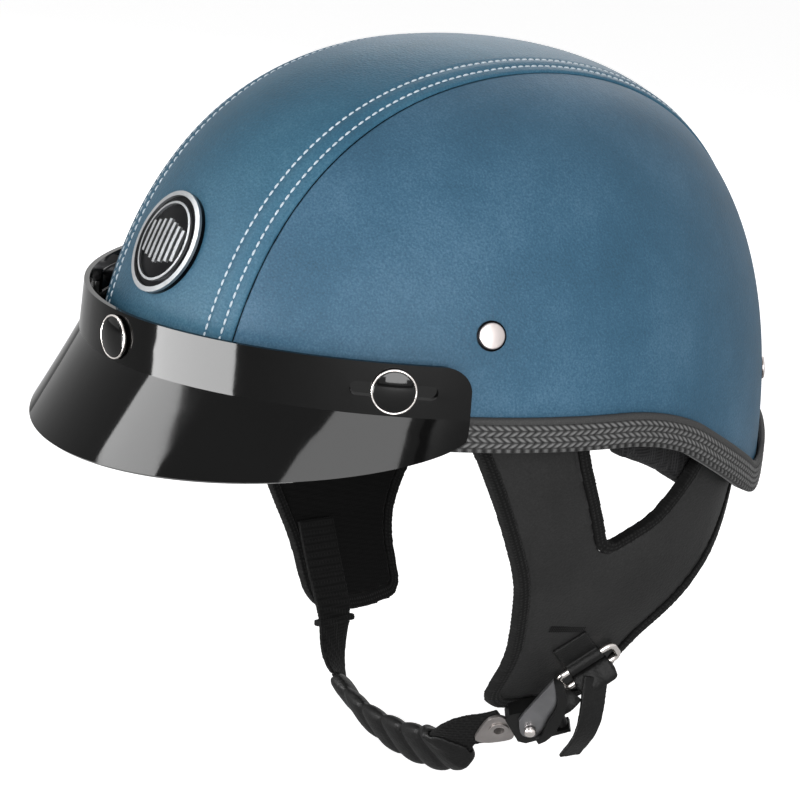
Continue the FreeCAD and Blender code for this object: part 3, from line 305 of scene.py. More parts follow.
def darker(colour, share):
    """A scene colour with its light cut to a share."""
    return tuple(c * share for c in colour[:3]) + (1.0,)


class Finish:
    """A material under construction."""

    def __init__(self, name, rough, metallic=0.0):
        self.material = bpy.data.materials.new(name)
        self.material.use_nodes = True
        self.tree = self.material.node_tree
        self.shader = self.tree.nodes["Principled BSDF"]
        self.set("Roughness", rough)
        self.set("Metallic", metallic)
        self.place = self.node("ShaderNodeTexCoord").outputs["Object"]
        self.height = None

    def node(self, kind, **inputs):
        made = self.tree.nodes.new(kind)
        for key, value in inputs.items():
            made.inputs[key.replace("_", " ")].default_value = value
        return made

    def link(self, source, target):
        self.tree.links.new(source, target)

    def set(self, socket, value):
        self.shader.inputs[socket].default_value = value

    def noise(self, scale, detail=3.0, roughness=0.5, place=None):
        made = self.node("ShaderNodeTexNoise", Scale=scale, Detail=detail, Roughness=roughness)
        self.link(place or self.place, made.inputs["Vector"])
        return made.outputs["Fac"]

    def cells(self, scale):
        made = self.node("ShaderNodeTexVoronoi", Scale=scale)
        self.link(self.place, made.inputs["Vector"])
        return made.outputs["Distance"]

    def wave(self, scale, direction, place=None, distortion=0.0):
        made = self.node("ShaderNodeTexWave", Scale=scale, Distortion=distortion)
        made.bands_direction = direction
        self.link(place or self.place, made.inputs["Vector"])
        return made.outputs["Fac"]

    def math(self, operation, first, second=None):
        made = self.node("ShaderNodeMath")
        made.operation = operation
        for socket, value in zip(made.inputs, (first, second)):
            if value is None:
                continue
            if isinstance(value, (int, float)):
                socket.default_value = value
            else:
                self.link(value, socket)
        return made.outputs[0]

    def ramp(self, source, *stops):
        made = self.node("ShaderNodeValToRGB")
        elements = made.color_ramp.elements
        while len(elements) < len(stops):
            elements.new(0.5)
        for element, (place, colour) in zip(elements, stops):
            element.position = place
            element.color = colour
        self.link(source, made.inputs["Fac"])
        return made.outputs["Color"]

    def colour(self, source):
        self.link(source, self.shader.inputs["Base Color"])

    def rough(self, source, low, high):
        made = self.node("ShaderNodeMapRange", To_Min=low, To_Max=high)
        self.link(source, made.inputs["Value"])
        self.link(made.outputs[0], self.shader.inputs["Roughness"])

    def bump(self, source, depth, strength=1.0):
        """Add relief of a depth in millimetres."""
        made = self.node("ShaderNodeBump", Strength=strength, Distance=depth * MM)
        self.link(source, made.inputs["Height"])
        if self.height is not None:
            self.link(self.height, made.inputs["Normal"])
        self.height = made.outputs["Normal"]
        self.link(self.height, self.shader.inputs["Normal"])


def leather(name, dark, middle, light, rough, grain):
    """Grained leather: mottled colour, fine pebbles, soft creases."""
    f = Finish(name, rough)
    pebble = f.cells(900.0)
    fine = f.noise(1300.0, 3.0, 0.65)
    broad = f.noise(22.0, 6.0, 0.62)
    folds = f.noise(70.0, 8.0, 0.7)
    cloud = f.math("ADD", f.math("MULTIPLY", broad, 0.45), f.math("MULTIPLY", fine, 0.55))
    f.colour(f.ramp(cloud, (0.32, dark), (0.5, middle), (0.68, light)))
    f.rough(fine, rough - 0.06, rough + 0.1)
    f.bump(folds, 0.5 * grain, 0.35)
    f.bump(pebble, 0.16 * grain, 0.75)
    f.bump(fine, 0.08 * grain, 0.7)
    f.set("Specular IOR Level", LEATHER_GLOSS)
    return f.material


def blue_leather(name, middle, light):
    """Leather of the helmet's cover, from display colours."""
    dark = linear(*[c * 0.84 for c in middle])
    return leather(name, dark, linear(*middle), linear(*light), 0.5, 1.0)


def weave(name, dark, light, pitch, depth, rough=0.85, uv=False):
    """Woven cloth or webbing with crossing threads of a pitch in millimetres."""
    f = Finish(name, rough)
    place = f.place
    scale = WAVE_LENGTH / (pitch * MM)
    if uv:
        place = f.node("ShaderNodeUVMap").outputs["UV"]
        scale = WAVE_LENGTH / pitch
    first = f.wave(scale, "X", place, 0.6)
    second = f.wave(scale * 0.92, "Y", place, 0.6)
    third = f.wave(scale, "Z", place, 0.6)
    threads = f.math("MAXIMUM", f.math("MULTIPLY", first, second),
                     f.math("MULTIPLY", third, 0.6))
    fuzz = f.noise(900.0, 4.0, 0.7)
    mixed = f.math("ADD", f.math("MULTIPLY", threads, 0.6), f.math("MULTIPLY", fuzz, 0.4))
    f.colour(f.ramp(mixed, (0.15, dark), (0.75, light)))
    f.bump(threads, depth, 0.8)
    f.bump(fuzz, depth * 0.5, 0.5)
    f.set("Sheen Weight", 0.03)
    f.set("Specular IOR Level", WEAVE_GLOSS)
    return f.material


def plastic(name, colour, rough, texture=0.02, specular=0.2):
    """Moulded plastic with a slight unevenness."""
    f = Finish(name, rough)
    broad = f.noise(60.0, 3.0)
    fine = f.noise(1400.0, 2.0)
    f.colour(f.ramp(broad, (0.3, darker(colour, 0.8)), (0.7, colour)))
    f.rough(fine, max(rough - 0.04, 0.02), rough + 0.05)
    f.bump(fine, texture, 0.4)
    f.set("Specular IOR Level", specular)
    return f.material


def metal(name, colour, rough):
    """Metal with fine scratches and slightly worn gloss."""
    f = Finish(name, rough, 1.0)
    stretched = f.node("ShaderNodeMapping", Scale=(1.0, 9.0, 1.0))
    f.link(f.place, stretched.inputs["Vector"])
    lines = f.noise(420.0, 5.0, 0.7, stretched.outputs[0])
    broad = f.noise(90.0, 3.0)
    f.colour(f.ramp(broad, (0.25, darker(colour, 0.72)), (0.65, colour)))
    f.rough(lines, max(rough - 0.06, 0.03), rough + 0.12)
    f.bump(lines, 0.03, 0.4)
    return f.material


def foam_finish():
    """Expanded bead foam."""
    f = Finish("bead_foam", 0.75)
    beads = f.cells(300.0)
    f.colour(f.ramp(beads, (0.0, linear(52, 52, 54)), (0.55, linear(30, 30, 32))))
    f.bump(beads, 0.4, 0.8)
    return f.material


def trim_finish():
    """Herringbone cloth: colour from the weave's relief, pale on the ribs with painted shade in
    the grooves, and a fibrous surface.
    """
    f = Finish("trim_cloth", 0.7)
    relief = f.node("ShaderNodeAttribute")
    relief.attribute_name = "relief"
    fibre = f.noise(1700.0, 4.0, 0.7)
    mixed = f.math("ADD", f.math("MULTIPLY", relief.outputs["Fac"], 0.8),
                   f.math("MULTIPLY", fibre, 0.3))
    # Low relief is painted dark as shade in the grooves, high relief pale.
    f.colour(f.ramp(mixed, (0.2, grey(9)), (0.6, grey(58)), (0.95, grey(116))))
    f.bump(fibre, 0.12, 0.8)
    f.set("Specular IOR Level", TRIM_GLOSS)
    return f.material


GRAIN_BLUE = blue_leather("blue_leather_side", (53, 88, 111), (76, 108, 131))
GRAIN_MIDDLE = blue_leather("blue_leather_middle", (49, 91, 114), (72, 112, 132))
GRAIN_BLACK = leather("black_leather", grey(24), grey(34), grey(44), 0.55, 0.8)
FOLD_LEATHER = leather("strap_leather", grey(10), grey(18), grey(30), 0.5, 0.9)
TRIM_CLOTH = trim_finish()
TRIM_BACK = weave("trim_lip", grey(96), grey(150), 0.8, 0.08)
LINING = weave("lining_cloth", grey(2), grey(12), 1.1, 0.14)
PAD_CLOTH = weave("pad_cloth", linear(16, 16, 17), linear(46, 46, 47), 1.3, 0.2)
WEBBING = weave("webbing", grey(3), grey(20), 1.5, 0.25, 0.8)
TAPE = weave("binding_tape", grey(5), grey(28), 1.4, 0.24, 0.8, uv=True)
THREAD = weave("pale_thread", linear(160, 178, 192), linear(226, 234, 240), 0.5, 0.06)
DARK_THREAD = weave("dark_thread", grey(12), grey(30), 0.5, 0.06)
VISOR = plastic("visor_gloss", grey(6), 0.05, texture=0.0, specular=0.13)
SHELL = plastic("shell_plastic", linear(18, 22, 26), 0.45)
CAP = plastic("cap_black", grey(6), 0.06, texture=0.0, specular=0.25)
BUCKLE = plastic("buckle_black", grey(12), 0.4)
GRIP = plastic("grip_black", grey(9), 0.5, texture=0.05)
BRIGHT = metal("bright_metal", linear(228, 222, 218), 0.2)
STEEL = metal("grey_steel", linear(134, 134, 136), 0.34)
PLATE_STEEL = metal("plate_steel", linear(164, 159, 157), 0.4)
PEWTER = metal("pewter", linear(168, 170, 172), 0.34)
PEWTER_DARK = metal("pewter_dark", linear(20, 20, 22), 0.3)
EPS = foam_finish()
RIVET = metal("rivet_metal", linear(186, 178, 176), 0.3)


def finish_piece(obj, body, material, slot, *replaced):
    """Material, body and the CAD nodes that a piece stands for; the slot is not used."""
    if material is not None:
        obj.data.materials.clear()
        obj.data.materials.append(material)
    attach(obj, body)
    if replaced:
        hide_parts(*replaced)
    return obj


def repaint(node, material):
    """A better material on a CAD node that stays."""
    mesh_slots = nodes[node].material_slots
    if len(mesh_slots) == 0:
        nodes[node].data.materials.append(material)
    for mesh_slot in mesh_slots:
        mesh_slot.material = material


# ---------------------------------------------------------------- camera, lights, floor

CAMERA_SPOT = Vector((714.68, -601.52, 239.32))
CAMERA_BACK = Vector((0.74747533, -0.6091152, 0.26506473))
CAMERA_AZIMUTH, CAMERA_ROLL = math.radians(50.82), math.radians(5.77)
LENS, SENSOR = 108.19, 36.0
WORLD_LIGHT, WHITE = 0.2, 1.0
FLOOR_HALF, FLOOR_GAP, FLOOR_GLOW = 3.5, 0.0005, 0.72


def camera_matrix():
    """Camera place and turn that match the photograph."""
    back = CAMERA_BACK.normalized()
    level = Vector((math.cos(CAMERA_AZIMUTH), math.sin(CAMERA_AZIMUTH), 0))
    upright = back.cross(level)
    right = level * math.cos(CAMERA_ROLL) + upright * math.sin(CAMERA_ROLL)
    up = upright * math.cos(CAMERA_ROLL) - level * math.sin(CAMERA_ROLL)
    turn = Matrix((right, up, back)).transposed().to_4x4()
    return Matrix.Translation(CAMERA_SPOT * MM) @ turn


scene = bpy.context.scene
camera = linked("camera", bpy.data.cameras.new("camera"))
camera.data.lens = LENS
camera.data.sensor_width = SENSOR
camera.matrix_world = camera_matrix()
scene.camera = camera
scene.view_settings.view_transform = "Standard"


def area_light(name, spot, target, width, height, power):
    """A soft box; lengths in metres and power in watts."""
    light = bpy.data.lights.new(name, "AREA")
    light.shape = "RECTANGLE"
    light.size, light.size_y = width, height
    light.energy = power
    obj = linked(name, light)
    obj.location = spot
    way = Vector(target) - Vector(spot)
    obj.rotation_euler = way.to_track_quat("-Z", "Y").to_euler()
    return obj


def reflected_panel(name, spot, target, width, height, power):
    """A panel that shows only as a reflection in gloss."""
    panel = area_light(name, spot, target, width, height, power)
    panel.visible_camera = False
    panel.visible_diffuse = False
    return panel


area_light("key", (1.45, -0.85, 0.42), (0, 0, 0), 0.9, 0.8, 26.0)
front = area_light("front", (-0.35, -1.7, 0.8), (0, 0, 0), 0.9, 0.9, 9.0)
front.visible_glossy = False
area_light("top", (-0.1, 0.3, 1.7), (0, 0, 0), 1.6, 1.6, 3.0)
area_light("rear", (-1.2, 1.2, 0.9), (0, 0, 0), 1.0, 1.0, 9.0)
reflected_panel("band_panel", (-0.03, -0.62, -0.08), (0.05, -0.14, 0.022), 0.36, 0.17, 7.5)
reflected_panel("brim_panel", (-0.28, -0.93, 0.56), (0.02, -0.15, 0.0), 0.5, 0.13, 5.0)


def ray_kinds(tree, *kinds):
    """1 for rays of the given kinds and 0 for the others."""
    path = tree.nodes.new("ShaderNodeLightPath")
    found = path.outputs[kinds[0]]
    for kind in kinds[1:]:
        either = tree.nodes.new("ShaderNodeMath")
        either.operation = "MAXIMUM"
        tree.links.new(found, either.inputs[0])
        tree.links.new(path.outputs[kind], either.inputs[1])
        found = either.outputs[0]
    return found


# The world is white where it is seen and a weak light elsewhere.
world = bpy.data.worlds.new("studio")
scene.world = world
world.use_nodes = True
tree = world.node_tree
background = tree.nodes["Background"]
seen = ray_kinds(tree, "Is Camera Ray", "Is Transmission Ray", "Is Glossy Ray")
strength = tree.nodes.new("ShaderNodeMapRange")
strength.inputs["To Min"].default_value = WORLD_LIGHT
strength.inputs["To Max"].default_value = WHITE
tree.links.new(seen, strength.inputs["Value"])
tree.links.new(strength.outputs[0], background.inputs["Strength"])
background.inputs["Color"].default_value = (1, 1, 1, 1)

# The floor glows a little for the camera, which fades its far part into the world.
floor_level = cad_box[0][2] - FLOOR_GAP
floor_mesh = bpy.data.meshes.new("floor")
floor_mesh.from_pydata([(x * FLOOR_HALF, y * FLOOR_HALF, floor_level) for x, y in (
    (-1, -1), (1, -1), (1, 1), (-1, 1))], [], [(0, 1, 2, 3)])
floor = linked("floor", floor_mesh)
floor_finish = bpy.data.materials.new("floor_white")
floor_finish.use_nodes = True
floor_tree = floor_finish.node_tree
floor_shader = floor_tree.nodes["Principled BSDF"]
floor_shader.inputs["Base Color"].default_value = (0.9, 0.9, 0.9, 1)
floor_shader.inputs["Roughness"].default_value = 0.9
floor_shader.inputs["Emission Color"].default_value = (1, 1, 1, 1)
floor_lift = floor_tree.nodes.new("ShaderNodeMath")
floor_lift.operation = "MULTIPLY"
floor_lift.inputs[1].default_value = FLOOR_GLOW
floor_tree.links.new(ray_kinds(floor_tree, "Is Camera Ray"), floor_lift.inputs[0])
floor_tree.links.new(floor_lift.outputs[0], floor_shader.inputs["Emission Strength"])
floor_mesh.materials.append(floor_finish)


# ---------------------------------------------------------------- leather covers

SEAM = 41.2                     # half width of the middle cover
COVER_EDGE = 9.0                # lift of the covers' lower edge over the rim
HEAD_MIDDLE = Vector((0, 0, 0.01))
STITCH_ROWS = (31.4, 37.3)      # distances of the sewn rows from the middle
HEM = 34.4                      # middle of the padded strip between the rows
HEM_FOLD = 30.2                 # faint line inside the inner row
THREAD_LIFT = 0.62
CENTRE_THICK, SIDE_THICK = 1.7, 1.0
CROSSING_HALVINGS = 28
SIDE_SWEEP, SIDE_ROWS, SIDE_SCAN = (-9.0, 216.0), 350, 1400

# Angles in degrees, under and over the rim, between which the seam meets it.
CROSSINGS = ((-12, 60), (205, 120))


def dip(distance, width, depth):
    """A smooth groove across a distance."""
    return -depth * np.exp(-(distance / width) ** 2)


def edge_roll(distance, radius):
    """Turned down edge: 0 inside the panel, -1 at its border."""
    share = np.clip(1.0 - distance / radius, 0.0, 1.0)
    return -(1.0 - np.sqrt(1.0 - share ** 2))


def flip_if_inward(obj):
    """Turn the faces of a sheet outwards, away from the middle of the head."""
    mesh = obj.data
    middle = mesh.polygons[len(mesh.polygons) // 2]
    if middle.normal.dot(middle.center - HEAD_MIDDLE) < 0:
        mesh.flip_normals()


def upright_rays(x, angle):
    """Rays in upright planes at x; angle 0 is the front and a right angle is up."""
    start = np.zeros(np.broadcast(x, angle).shape + (3,))
    start[..., 0] = x
    return start, np.stack([0 * angle, -np.cos(angle), np.sin(angle)], axis=-1)


def seam_crossings(x):
    """Angles in the upright plane at x of the front and rear ends of the cover."""
    ends = []
    for under, over in CROSSINGS:
        low, high = np.full_like(x, math.radians(under)), np.full_like(x, math.radians(over))
        for _ in range(CROSSING_HALVINGS):
            middle = (low + high) / 2
            p = on_rays(*upright_rays(x, middle), 0.0)
            above = p[..., 2] > rim_level(p[..., 1], COVER_EDGE)
            high = np.where(above, middle, high)
            low = np.where(above, low, middle)
        ends.append(high)
    return ends


def centre_cover():
    """Middle panel: raised, with two sewn rows and a turned edge on each side."""
    x = np.concatenate([
        np.linspace(-SEAM, -29.5, 46), np.linspace(-28.6, 28.6, 64), np.linspace(29.5, SEAM, 46)])
    first, last = seam_crossings(x)
    share = np.linspace(0, 1, 520)
    angle = first[None, :] + (last - first)[None, :] * share[:, None]
    far = np.abs(x)
    rise = 0.75 + 0.75 * edge_roll(SEAM - far, 1.3)
    for row in STITCH_ROWS:
        rise += dip(far - row, 0.8, 0.32)
    rise -= dip(far - HEM, 1.6, 0.28)
    rise += dip(far - HEM_FOLD, 0.5, 0.1)
    points = on_rays(*upright_rays(x[None, :], angle), rise[None, :])
    obj = mesh_object("centre_leather", points, grid_faces(*angle.shape))
    flip_if_inward(obj)
    return thickened(obj, CENTRE_THICK)


def side_skin(angle, slant, offset=0.0):
    """Points on the dome; angle turns about the X axis and slant leans to +X."""
    way = np.stack([np.sin(slant), -np.cos(slant) * np.cos(angle),
                    np.cos(slant) * np.sin(angle)], axis=-1)
    return on_rays(np.zeros(way.shape), way, offset)


def side_cover(name, side):
    """Side panel from the seam down under the trim."""
    angle = np.radians(np.linspace(*SIDE_SWEEP, SIDE_ROWS))
    scan = np.linspace(0.02, math.pi / 2, SIDE_SCAN)
    scan = np.broadcast_to(scan, (SIDE_ROWS, SIDE_SCAN))
    p = side_skin(angle[:, None], scan)
    past = (p[..., 0] > SEAM + 0.25) & (p[..., 2] > rim_level(p[..., 1], COVER_EDGE))
    kept = past.any(axis=1)
    angle, scan, past = angle[kept], scan[kept], past[kept]
    first = np.take_along_axis(scan, past.argmax(axis=1)[:, None], axis=1)[:, 0]
    back = SIDE_SCAN - 1 - past[:, ::-1].argmax(axis=1)
    last = np.take_along_axis(scan, back[:, None], axis=1)[:, 0]
    last = np.maximum(last, first + 1e-3)
    share = np.concatenate([np.linspace(0, 0.03, 12), np.linspace(0.038, 1, 130)])
    slant = first[:, None] + (last - first)[:, None] * share[None, :]
    from_seam = side_skin(angle[:, None], slant)[..., 0] - SEAM
    offset = 0.05 + 0.9 * edge_roll(from_seam + 0.4, 1.5)
    points = side_skin(angle[:, None], slant, offset)
    points[..., 0] *= side
    obj = mesh_object(name, points, grid_faces(*slant.shape))
    flip_if_inward(obj)
    return thickened(obj, SIDE_THICK)


finish_piece(centre_cover(), "helmet", GRAIN_MIDDLE, "leather_blue", "cover_centre")
finish_piece(side_cover("left_leather", 1), "helmet", GRAIN_BLUE, "leather_blue", "cover_left")
finish_piece(side_cover("right_leather", -1), "helmet", GRAIN_BLUE, "leather_blue",
             "cover_right")


def lozenge(half_long, half_wide, half_thick, rings=6, sides=6):
    """A small stitch: rings along its length."""
    points = []
    for i in range(rings):
        along = -1 + 2 * i / (rings - 1)
        full = math.sqrt(max(1 - along ** 4, 0.04))
        for k in range(sides):
            turn = 2 * math.pi * k / sides
            points.append((along * half_long, math.cos(turn) * half_wide * full,
                           math.sin(turn) * half_thick * full - 0.12 * along * along))
    return np.array(points), tube_faces(rings, sides)


def stitches(name, lines, pitch, half_long, half_wide, half_thick, slant=0.0):
    """Rows of stitches along lines of (points, outward normals)."""
    shape, shape_faces = lozenge(half_long, half_wide, half_thick)
    points, faces = [], []
    for line, normals in lines:
        run = run_along(line)

        def there(values, at):
            return np.array([np.interp(at, run, values[:, k]) for k in range(3)])

        for at in np.arange(pitch / 2, run[-1] - pitch / 4, pitch):
            along = there(line, at + 0.8) - there(line, at - 0.8)
            along /= np.linalg.norm(along)
            out = there(normals, at)
            out -= along * (out @ along)
            out /= np.linalg.norm(out)
            across = np.cross(out, along)
            if slant:
                along, across = (along * math.cos(slant) + across * math.sin(slant),
                                 across * math.cos(slant) - along * math.sin(slant))
            base = len(points) * len(shape)
            points.append(there(line, at) + shape @ np.stack([along, across, out]))
            faces += [[base + v for v in face] for face in shape_faces]
    return mesh_object(name, np.concatenate(points), faces)


def seam_line(x, offset):
    """Line over the crown in the upright plane at x, with outward normals."""
    first, last = seam_crossings(np.array([x]))
    angle = np.linspace(first[0], last[0], 420)
    line, right, left = (on_rays(*upright_rays(x + shift, angle), offset)
                         for shift in (0.0, 0.5, -0.5))
    normals = np.cross(np.gradient(line, axis=0), right - left)
    normals *= np.sign((normals * line).sum(axis=1))[:, None]
    return line, normals / np.linalg.norm(normals, axis=1)[:, None]


seam_stitches = stitches(
    "seam_stitches",
    [seam_line(side * x, THREAD_LIFT) for side in (-1, 1) for x in STITCH_ROWS],
    pitch=3.3, half_long=1.3, half_wide=0.43, half_thick=0.36)
finish_piece(seam_stitches, "helmet", THREAD, "leather_blue")


# ---------------------------------------------------------------- edge trim

TRIM_OUT, TRIM_STEP = 3.1, 0.42
WEAVE_LOW, WEAVE_HIGH, ZIGZAG = 1.9, 10.2, 4.15
RIB_PITCH, CRIMP_PITCH = 2.9, 3.6
RELIEF_DEPTH, CRIMP_DEPTH = 0.75, 0.3


def trim_profile():
    """Closed cross-section as (lift, offset, herringbone share, crimp share)."""
    rows = [(12.5, 0.95, 0, 0), (12.55, 1.9, 0, 0), (12.3, 2.75, 0, 0), (11.8, 3.1, 0, 0),
            (11.2, 3.15, 0, 0), (10.7, 3.0, 0, 0), (10.45, 2.75, 0, 0)]
    rows += [(lift, TRIM_OUT, 1, 0) for lift in np.linspace(WEAVE_HIGH, WEAVE_LOW, 25)]
    rows += [(1.6, 2.9, 0, 0.5), (1.2, 2.75, 0, 1), (0.8, 2.75, 0, 1), (0.4, 2.6, 0, 0.5),
             (0.08, 1.9, 0, 0), (0.0, 0.8, 0, 0), (0.0, -0.8, 0, 0), (0.0, -2.6, 0, 0),
             (0.05, -4.2, 0, 0), (0.4, -5.2, 0, 0), (1.1, -5.75, 0, 0), (2.6, -5.75, 0, 0),
             (5.0, -5.75, 0, 0), (8.0, -5.75, 0, 0), (11.0, -5.75, 0, 0), (12.2, -5.6, 0, 0),
             (12.4, -5.2, 0, 0), (12.2, -4.75, 0, 0), (7.0, -4.7, 0, 0), (1.8, -4.7, 0, 0),
             (1.8, 0.9, 0, 0), (7.0, 0.92, 0, 0)]
    return np.array(rows)


def even_angles(step):
    """Plan angles at even spacing along the trim, with the run at each."""
    rough = np.linspace(0, 2 * math.pi, 1500)
    line = on_rim(rough, np.full_like(rough, 6.0), np.full_like(rough, 3.0))
    run = run_along(line)
    count = int(run[-1] / step)
    even = np.arange(count) * run[-1] / count
    return np.interp(even, run, rough), even, run[-1]


def edge_trim():
    """Trim with a raised herringbone weave, plain upper lip and crimped lower edge."""
    profile = trim_profile()
    angle, run, whole = even_angles(TRIM_STEP)
    lift = profile[None, :, 0] + 0 * angle[:, None]
    base = profile[None, :, 1] + 0 * angle[:, None]
    pitch = whole / round(whole / RIB_PITCH)
    crimp = whole / round(whole / CRIMP_PITCH)
    zigzag = np.abs(((lift - WEAVE_LOW) / ZIGZAG) % 1.0 - 0.5) * 2.0
    phase = run[:, None] / pitch + zigzag * 0.95
    rib = np.abs(np.sin(math.pi * phase)) ** 0.7
    column = np.abs(np.sin(math.pi * (lift - WEAVE_LOW) / (ZIGZAG / 2))) ** 0.5
    grain = rng.normal(0.0, 0.035, base.shape)
    crimped = np.clip(np.sin(2 * math.pi * run[:, None] / crimp) + 0.35, -1, 1)
    raised = rib * (0.4 + 0.6 * column)
    offset = base + profile[None, :, 2] * (RELIEF_DEPTH * raised - 0.6 + grain)
    offset += profile[None, :, 3] * CRIMP_DEPTH * crimped
    points = on_rim(np.broadcast_to(angle[:, None], base.shape), lift, offset)
    obj = mesh_object("edge_trim_cloth", points,
                      grid_faces(*base.shape, wrap_rows=True, wrap_columns=True))
    # The relief also sets the cloth's colour: painted shade in the weave's grooves and in the
    # crimp's hollows.
    relief = np.where(profile[None, :, 2] > 0, raised, 0.55 + 0 * raised)
    relief = np.where(profile[None, :, 3] > 0, 0.35 + 0.4 * crimped, relief)
    layer = obj.data.attributes.new("relief", "FLOAT", "POINT")
    layer.data.foreach_set("value", relief.ravel())
    obj.data.materials.append(TRIM_CLOTH)
    obj.data.materials.append(TRIM_BACK)
    outer = int((profile[:, 1] > 1.0).sum())
    strip = np.arange(len(obj.data.polygons)) % len(profile)
    obj.data.polygons.foreach_set("material_index", (strip >= outer + 2).astype(int))
    return obj


finish_piece(edge_trim(), "helmet", None, "trim_weave", "edge_trim")


# ---------------------------------------------------------------- pads inside

def quilt(points, pitch, depth):
    """Sewn lines in a pad's face, at even turns about the head."""
    turn = np.degrees(np.arctan2(points[:, 0], -points[:, 1]))
    near = np.abs((turn / pitch + 0.5) % 1.0 - 0.5) * pitch
    return dip(near, 1.3, depth)


# Node: piece and spacing of its sewn lines in degrees about the head.
PADS = {
    "brow_pad": ("brow_cushion", 14.0), "temple_pad_left": ("temple_cushion_left", 15.0),
    "temple_pad_right": ("temple_cushion_right", 15.0), "crown_pad": ("crown_cushion", 45.0),
    "nape_pad": ("nape_cushion", 14.0),
}
PAD_SWELL, QUILT_DEPTH = 0.5, 1.3
for source, (label, pitch) in PADS.items():
    pad = soft_copy(label, source, 1.9, 14)
    pushed(pad, lambda p, normals: PAD_SWELL + quilt(p, pitch, QUILT_DEPTH))
    finish_piece(pad, "helmet", PAD_CLOTH, "lining", source)


# ---------------------------------------------------------------- ear flaps

# Outlines seen from the side: (y, z, corner radius).
FLAP_OUTLINE = [(-68.0, 16.0, 0), (-24.0, -62.0, 90.0), (-12.0, -98.0, 60.0),
                (-10.5, -126.0, 13.0), (20.0, -128.0, 60.0), (42.5, -126.0, 9.0),
                (44.5, -98.0, 40.0), (66.0, -69.0, 60.0), (99.0, -31.0, 0), (99.0, 16.0, 0)]
FLAP_CUT = [(-16.0, 16.0, 0), (-5.0, -14.0, 40.0), (11.5, -48.5, 4.5), (31.0, -38.0, 30.0),
            (56.0, -10.0, 0), (56.0, 16.0, 0)]
outline = rounded_path(FLAP_OUTLINE)
opening = rounded_path(FLAP_CUT)
border = KDTree(len(outline) + len(opening))
for i, (y, z) in enumerate(np.vstack([outline, opening])):
    border.insert((y, z, 0), i)
border.balance()


def from_border(points):
    """Nearest place along the flap's edges and distance from them."""
    found = [border.find((p[1], p[2], 0)) for p in points]
    return np.array([(i * PATH_STEP, d) for _, i, d in found])


def flap_relief(points):
    """Soft swell of the flap between its bound edges, with a crease by the tape."""
    near = from_border(points)[:, 1] - 4.6
    swell = 0.7 * (1 - np.exp(-np.maximum(near, 0) / 9.0))
    crease = dip(near - 1.2, 0.9, 0.35)
    wave = 0.35 * np.sin(points[:, 1] / 9.0 + points[:, 2] / 13.0) * np.cos(points[:, 2] / 17.0)
    return swell + crease + wave * np.clip(near / 10.0, 0, 1) - 0.15


for side, sign in (("left", 1), ("right", -1)):
    flap = soft_copy("flap_leather_" + side, "ear_flap_" + side, 0.8, 3)
    pushed(flap, lambda p, normals: np.where(sign * normals[:, 0] > 0.3, flap_relief(p), 0.0))
    finish_piece(flap, "helmet", GRAIN_BLACK, "leather_black", "ear_flap_" + side)
    lining = soft_copy("flap_cloth_" + side, "flap_lining_" + side, 0.9, 3)
    finish_piece(lining, "helmet", LINING, "lining", "flap_lining_" + side)
    tape = soft_copy("flap_tape_" + side, "flap_binding_" + side, 0.7, 3)
    add_uv(tape, from_border(coordinates(tape.data)))
    finish_piece(tape, "helmet", TAPE, "tape", "flap_binding_" + side)


# The flap hangs from the dome and bends inwards below it, as in the CAD source.
FLAP_OUT, FLAP_BEND, FLAP_SPLAY, FLAP_BLEND = 103.0, 0.0026, 0.11, 5.0


def flap_point(y, z, out):
    """Place over the left flap's outer face."""
    free = FLAP_OUT - FLAP_BEND * min(z, 0.0) ** 2 + FLAP_SPLAY * (y - 20.0)
    inside = float(dome_x(np.array(y), np.array(max(z, -45.0)), -7.8))
    nearer = math.exp(-free / FLAP_BLEND) + math.exp(-inside / FLAP_BLEND)
    return (-FLAP_BLEND * math.log(nearer) + out, y, z)


# Three slanted rows of dark thread over the ring.
TACK_ENDS, TACK_LEVEL, TACK_SLOPE = (-1.0, 17.0), -85.7, 0.14
tack_lines = []
for shift in (-0.9, 0.0, 0.9):
    line = np.array([flap_point(y, TACK_LEVEL - TACK_SLOPE * (y - 8) + shift, 0.45)
                     for y in np.linspace(*TACK_ENDS, 40)])
    tack_lines.append((line, np.tile((1.0, 0.0, 0.25), (40, 1))))
tack = stitches("bar_tack", tack_lines, pitch=0.95, half_long=0.85, half_wide=0.3,
                half_thick=0.4, slant=1.1)
finish_piece(tack, "helmet", DARK_THREAD, "leather_black")


# ---------------------------------------------------------------- straps

for place in ("front", "rear"):
    for side in ("left", "right"):
        node = "strap_anchor_%s_%s" % (place, side)
        anchor = soft_copy("anchor_webbing_%s_%s" % (place, side), node, 0.7, 2)
        finish_piece(anchor, "helmet", WEBBING, "webbing", node)

right_strap = soft_copy("right_webbing", "chin_strap_right", 0.6, 2)
right_strap.data.materials.append(WEBBING)
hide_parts("chin_strap_right")
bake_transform(right_strap)
middle_strap = soft_copy("middle_webbing", "chin_strap_middle", 0.6, 2)
finish_piece(middle_strap, "chin", WEBBING, "webbing", "chin_strap_middle")
quilted = soft_copy("chin_cushion", "chin_pad", 0.7, 5)
finish_piece(quilted, "chin", FOLD_LEATHER, "leather_black", "chin_pad")
keeper = soft_copy("elastic_keeper", "strap_keeper", 0.35, 2)
finish_piece(keeper, "helmet", WEBBING, "webbing", "strap_keeper")
for source, label in (("ring_loop", "ring_leather"), ("strap_tail", "tail_leather"),
                      ("buckle_strap", "buckle_leather")):
    strap = soft_copy(label, source, 0.4, 3)
    finish_piece(strap, "helmet", FOLD_LEATHER, "leather_black", source)


# ---------------------------------------------------------------- CAD nodes that stay

